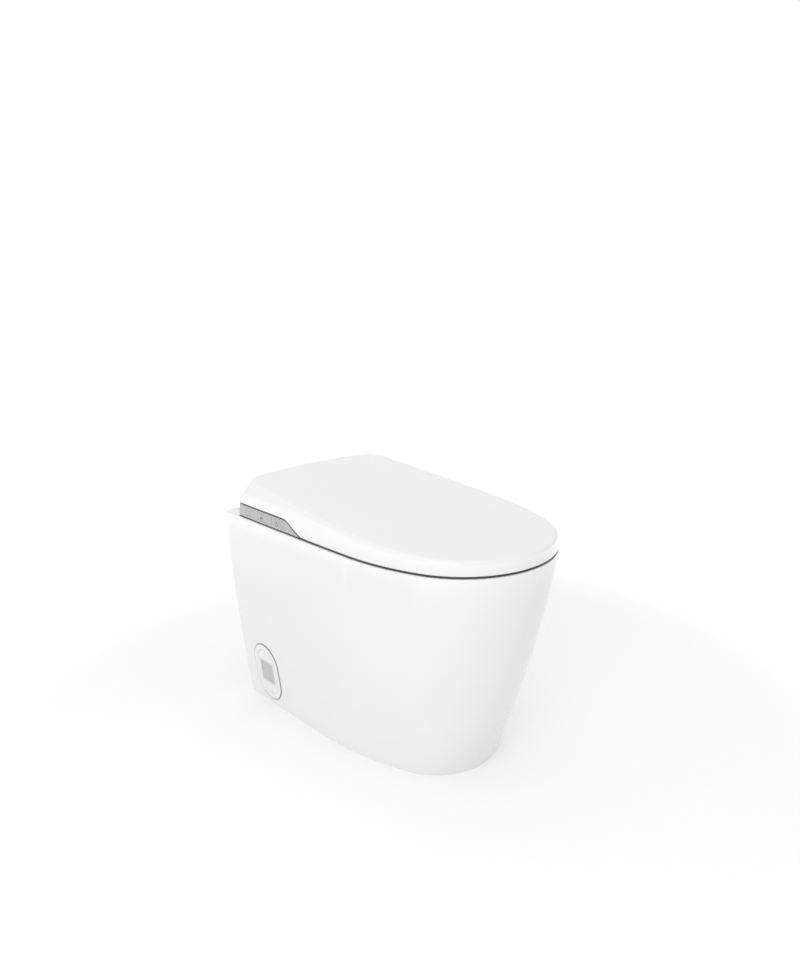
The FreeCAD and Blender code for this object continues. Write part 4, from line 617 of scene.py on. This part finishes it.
# A dark band of painted shade hangs under the skirt's lower edge all round, where the gap to the rim and
# the panel lies in shadow.
EDGE_SHADE_OUTER, EDGE_SHADE_INNER, EDGE_SHADE_KNIT = 0.5, 2.0, 0.6
EDGE_SHADE_AT_HINGE, EDGE_SHADE_AT_PANEL, EDGE_SHADE_AT_RIM = 0.3, 2.2, 2.6
EDGE_SHADE_GROWS_FROM, EDGE_SHADE_GROWS_OVER = 66.0, 8.0


def edge_shade_drop(s, z):
    """How far the painted shade band hangs at s under the edge at height z: least at the hinge, most
    over the rim.
    """
    hang = EDGE_SHADE_AT_PANEL + (EDGE_SHADE_AT_RIM - EDGE_SHADE_AT_PANEL) * (PANEL_LINE - z) / (PANEL_LINE - RIM_LINE)
    grown = np.clip((s - EDGE_SHADE_GROWS_FROM) / EDGE_SHADE_GROWS_OVER, 0.0, 1.0)
    return EDGE_SHADE_AT_HINGE + (hang - EDGE_SHADE_AT_HINGE) * grown


edge_z = outer_foot[:, 2]
edge_shade_corner = corner_radius(PANEL_LINE) + float(lean(PANEL_LINE))
edge_shade_edges = []
for inset, low in ((EDGE_SHADE_OUTER, True), (EDGE_SHADE_INNER, True), (EDGE_SHADE_INNER, False), (EDGE_SHADE_OUTER, False)):
    x, s = plan_ring(lean(edge_z) + inset, edge_shade_corner)
    z = edge_z - edge_shade_drop(s, edge_z) if low else edge_z + EDGE_SHADE_KNIT
    edge_shade_edges.append(np.column_stack([x, s, z]))
edge_shade = sweep_mesh("lid_edge_shade", np.swapaxes(to_frame(edge_shade_edges), 0, 1), loop=True)
# The band takes the near-black of the painted shade.
edge_shade.data.materials.append(painted_shade_skin)
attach(edge_shade, "lid")

# ---- floor and light ---------------------------------------------------------------------
# A plain white floor that shows the toilet's soft shadow near it and runs out to plain white,
# two large soft lamps and a white surround.
FLOOR_REACH = 14.0
FLOOR_PAINT, FLOOR_ROUGH, FLOOR_GLOW = 0.88, 0.9, 0.16
SHADOW_NEAR, SHADOW_FAR = 0.7, 1.9


def floor_plane():
    """One square under the toilet, with its corners FLOOR_REACH metres out along each axis."""
    corners = [(x * FLOOR_REACH, y * FLOOR_REACH, 0.0) for x, y in ((-1, -1), (1, -1), (1, 1), (-1, 1))]
    mesh = bpy.data.meshes.new("floor")
    mesh.from_pydata(corners, [], [(0, 1, 2, 3)])
    piece = bpy.data.objects.new("floor", mesh)
    scene.collection.objects.link(piece)
    return piece


def floor_material():
    """Diffuse paint that takes the shadow near the toilet, and plain white to the camera further out.

    The camera and glossy rays see a glow that grows with distance from the toilet's middle, from
    FLOOR_GLOW at SHADOW_NEAR metres to one at SHADOW_FAR.
    """
    made = bpy.data.materials.new("floor_white")
    made.use_nodes = True
    nodes, links = made.node_tree.nodes, made.node_tree.links
    shader = nodes["Principled BSDF"]
    shader.inputs["Base Color"].default_value = (FLOOR_PAINT, FLOOR_PAINT, FLOOR_PAINT, 1)
    shader.inputs["Roughness"].default_value = FLOOR_ROUGH
    shader.inputs["Specular IOR Level"].default_value = 0.0
    shader.inputs["Emission Color"].default_value = (1, 1, 1, 1)
    where = nodes.new("ShaderNodeTexCoord")
    reach = nodes.new("ShaderNodeVectorMath")
    reach.operation = "LENGTH"
    glow = nodes.new("ShaderNodeMapRange")
    glow.interpolation_type = "SMOOTHSTEP"
    glow.inputs["From Min"].default_value = SHADOW_NEAR
    glow.inputs["From Max"].default_value = SHADOW_FAR
    glow.inputs["To Min"].default_value = FLOOR_GLOW
    glow.inputs["To Max"].default_value = 1.0
    path = nodes.new("ShaderNodeLightPath")
    seen = nodes.new("ShaderNodeMath")
    seen.operation = "MAXIMUM"
    share = nodes.new("ShaderNodeMath")
    share.operation = "MULTIPLY"
    links.new(where.outputs["Object"], reach.inputs[0])
    links.new(reach.outputs["Value"], glow.inputs["Value"])
    links.new(path.outputs["Is Camera Ray"], seen.inputs[0])
    links.new(path.outputs["Is Glossy Ray"], seen.inputs[1])
    links.new(seen.outputs[0], share.inputs[0])
    links.new(glow.outputs["Result"], share.inputs[1])
    links.new(share.outputs[0], shader.inputs["Emission Strength"])
    return made


floor_plane().data.materials.append(floor_material())

# Camera, glossy and transmission rays see a plain white surround, and it lights the rest a little less.
SURROUND_LIGHT = 0.83
world = bpy.data.worlds.new("white_surround")
scene.world = world
world.use_nodes = True
nodes, links = world.node_tree.nodes, world.node_tree.links
sky = nodes["Background"]
sky.inputs["Color"].default_value = (1, 1, 1, 1)
path = nodes.new("ShaderNodeLightPath")
seen = nodes.new("ShaderNodeMath")
seen.operation = "MAXIMUM"
through = nodes.new("ShaderNodeMath")
through.operation = "MAXIMUM"
level = nodes.new("ShaderNodeMapRange")
level.inputs["To Min"].default_value = SURROUND_LIGHT
level.inputs["To Max"].default_value = 1.0
links.new(path.outputs["Is Camera Ray"], seen.inputs[0])
links.new(path.outputs["Is Glossy Ray"], seen.inputs[1])
links.new(seen.outputs[0], through.inputs[0])
links.new(path.outputs["Is Transmission Ray"], through.inputs[1])
links.new(through.outputs[0], level.inputs["Value"])
links.new(level.outputs["Result"], sky.inputs["Strength"])


def soft_lamp(name, place, aim, size, power):
    """A square area lamp of the given size and power that faces the point aim."""
    lamp = bpy.data.lights.new(name, "AREA")
    lamp.size = size
    lamp.energy = power
    piece = bpy.data.objects.new(name, lamp)
    scene.collection.objects.link(piece)
    piece.location = place
    way = np.array(aim) - np.array(place)
    pitch = math.atan2(math.hypot(way[0], way[1]), -way[2])
    piece.rotation_euler = (pitch, 0.0, math.atan2(way[1], way[0]) - math.pi / 2)


TOILET_MIDDLE = (0.0, 0.0, 0.25)
KEY_PLACE, KEY_SIZE, KEY_POWER = (-3.0, -1.5, 1.6), 2.2, 27.0
TOP_PLACE, TOP_SIZE, TOP_POWER = (0.2, 0.4, 3.2), 2.6, 4.5
soft_lamp("key_lamp", KEY_PLACE, TOILET_MIDDLE, KEY_SIZE, KEY_POWER)
soft_lamp("top_lamp", TOP_PLACE, TOILET_MIDDLE, TOP_SIZE, TOP_POWER)

# ---- camera ------------------------------------------------------------------------------
# The view of the photograph, found by fitting the rim, the foot, the panel and the lid's outline. The
# camera's axis meets the picture AXIS_RIGHT pixels right of its middle and AXIS_UP above it.
CAMERA_PLACE = (-1.01876, -1.15119, 0.87673)
CAMERA_TURN = -45.670
CAMERA_PITCH = 11.237
FOCAL_PIXELS, LONG_SIDE, SENSOR = 853.42, 973, 36.0
AXIS_RIGHT, AXIS_UP = 59.9, 50.9
camera_data = bpy.data.cameras.new("photo_camera")
camera_data.sensor_width = SENSOR
camera_data.sensor_fit = "AUTO"
camera_data.lens = SENSOR * FOCAL_PIXELS / LONG_SIDE
camera_data.shift_x = -AXIS_RIGHT / LONG_SIDE
camera_data.shift_y = -AXIS_UP / LONG_SIDE
camera = bpy.data.objects.new("photo_camera", camera_data)
scene.collection.objects.link(camera)
camera.location = CAMERA_PLACE
camera.rotation_euler = (math.radians(90 - CAMERA_PITCH), 0.0, math.radians(CAMERA_TURN))
scene.camera = camera
scene.view_settings.view_transform = "Standard"
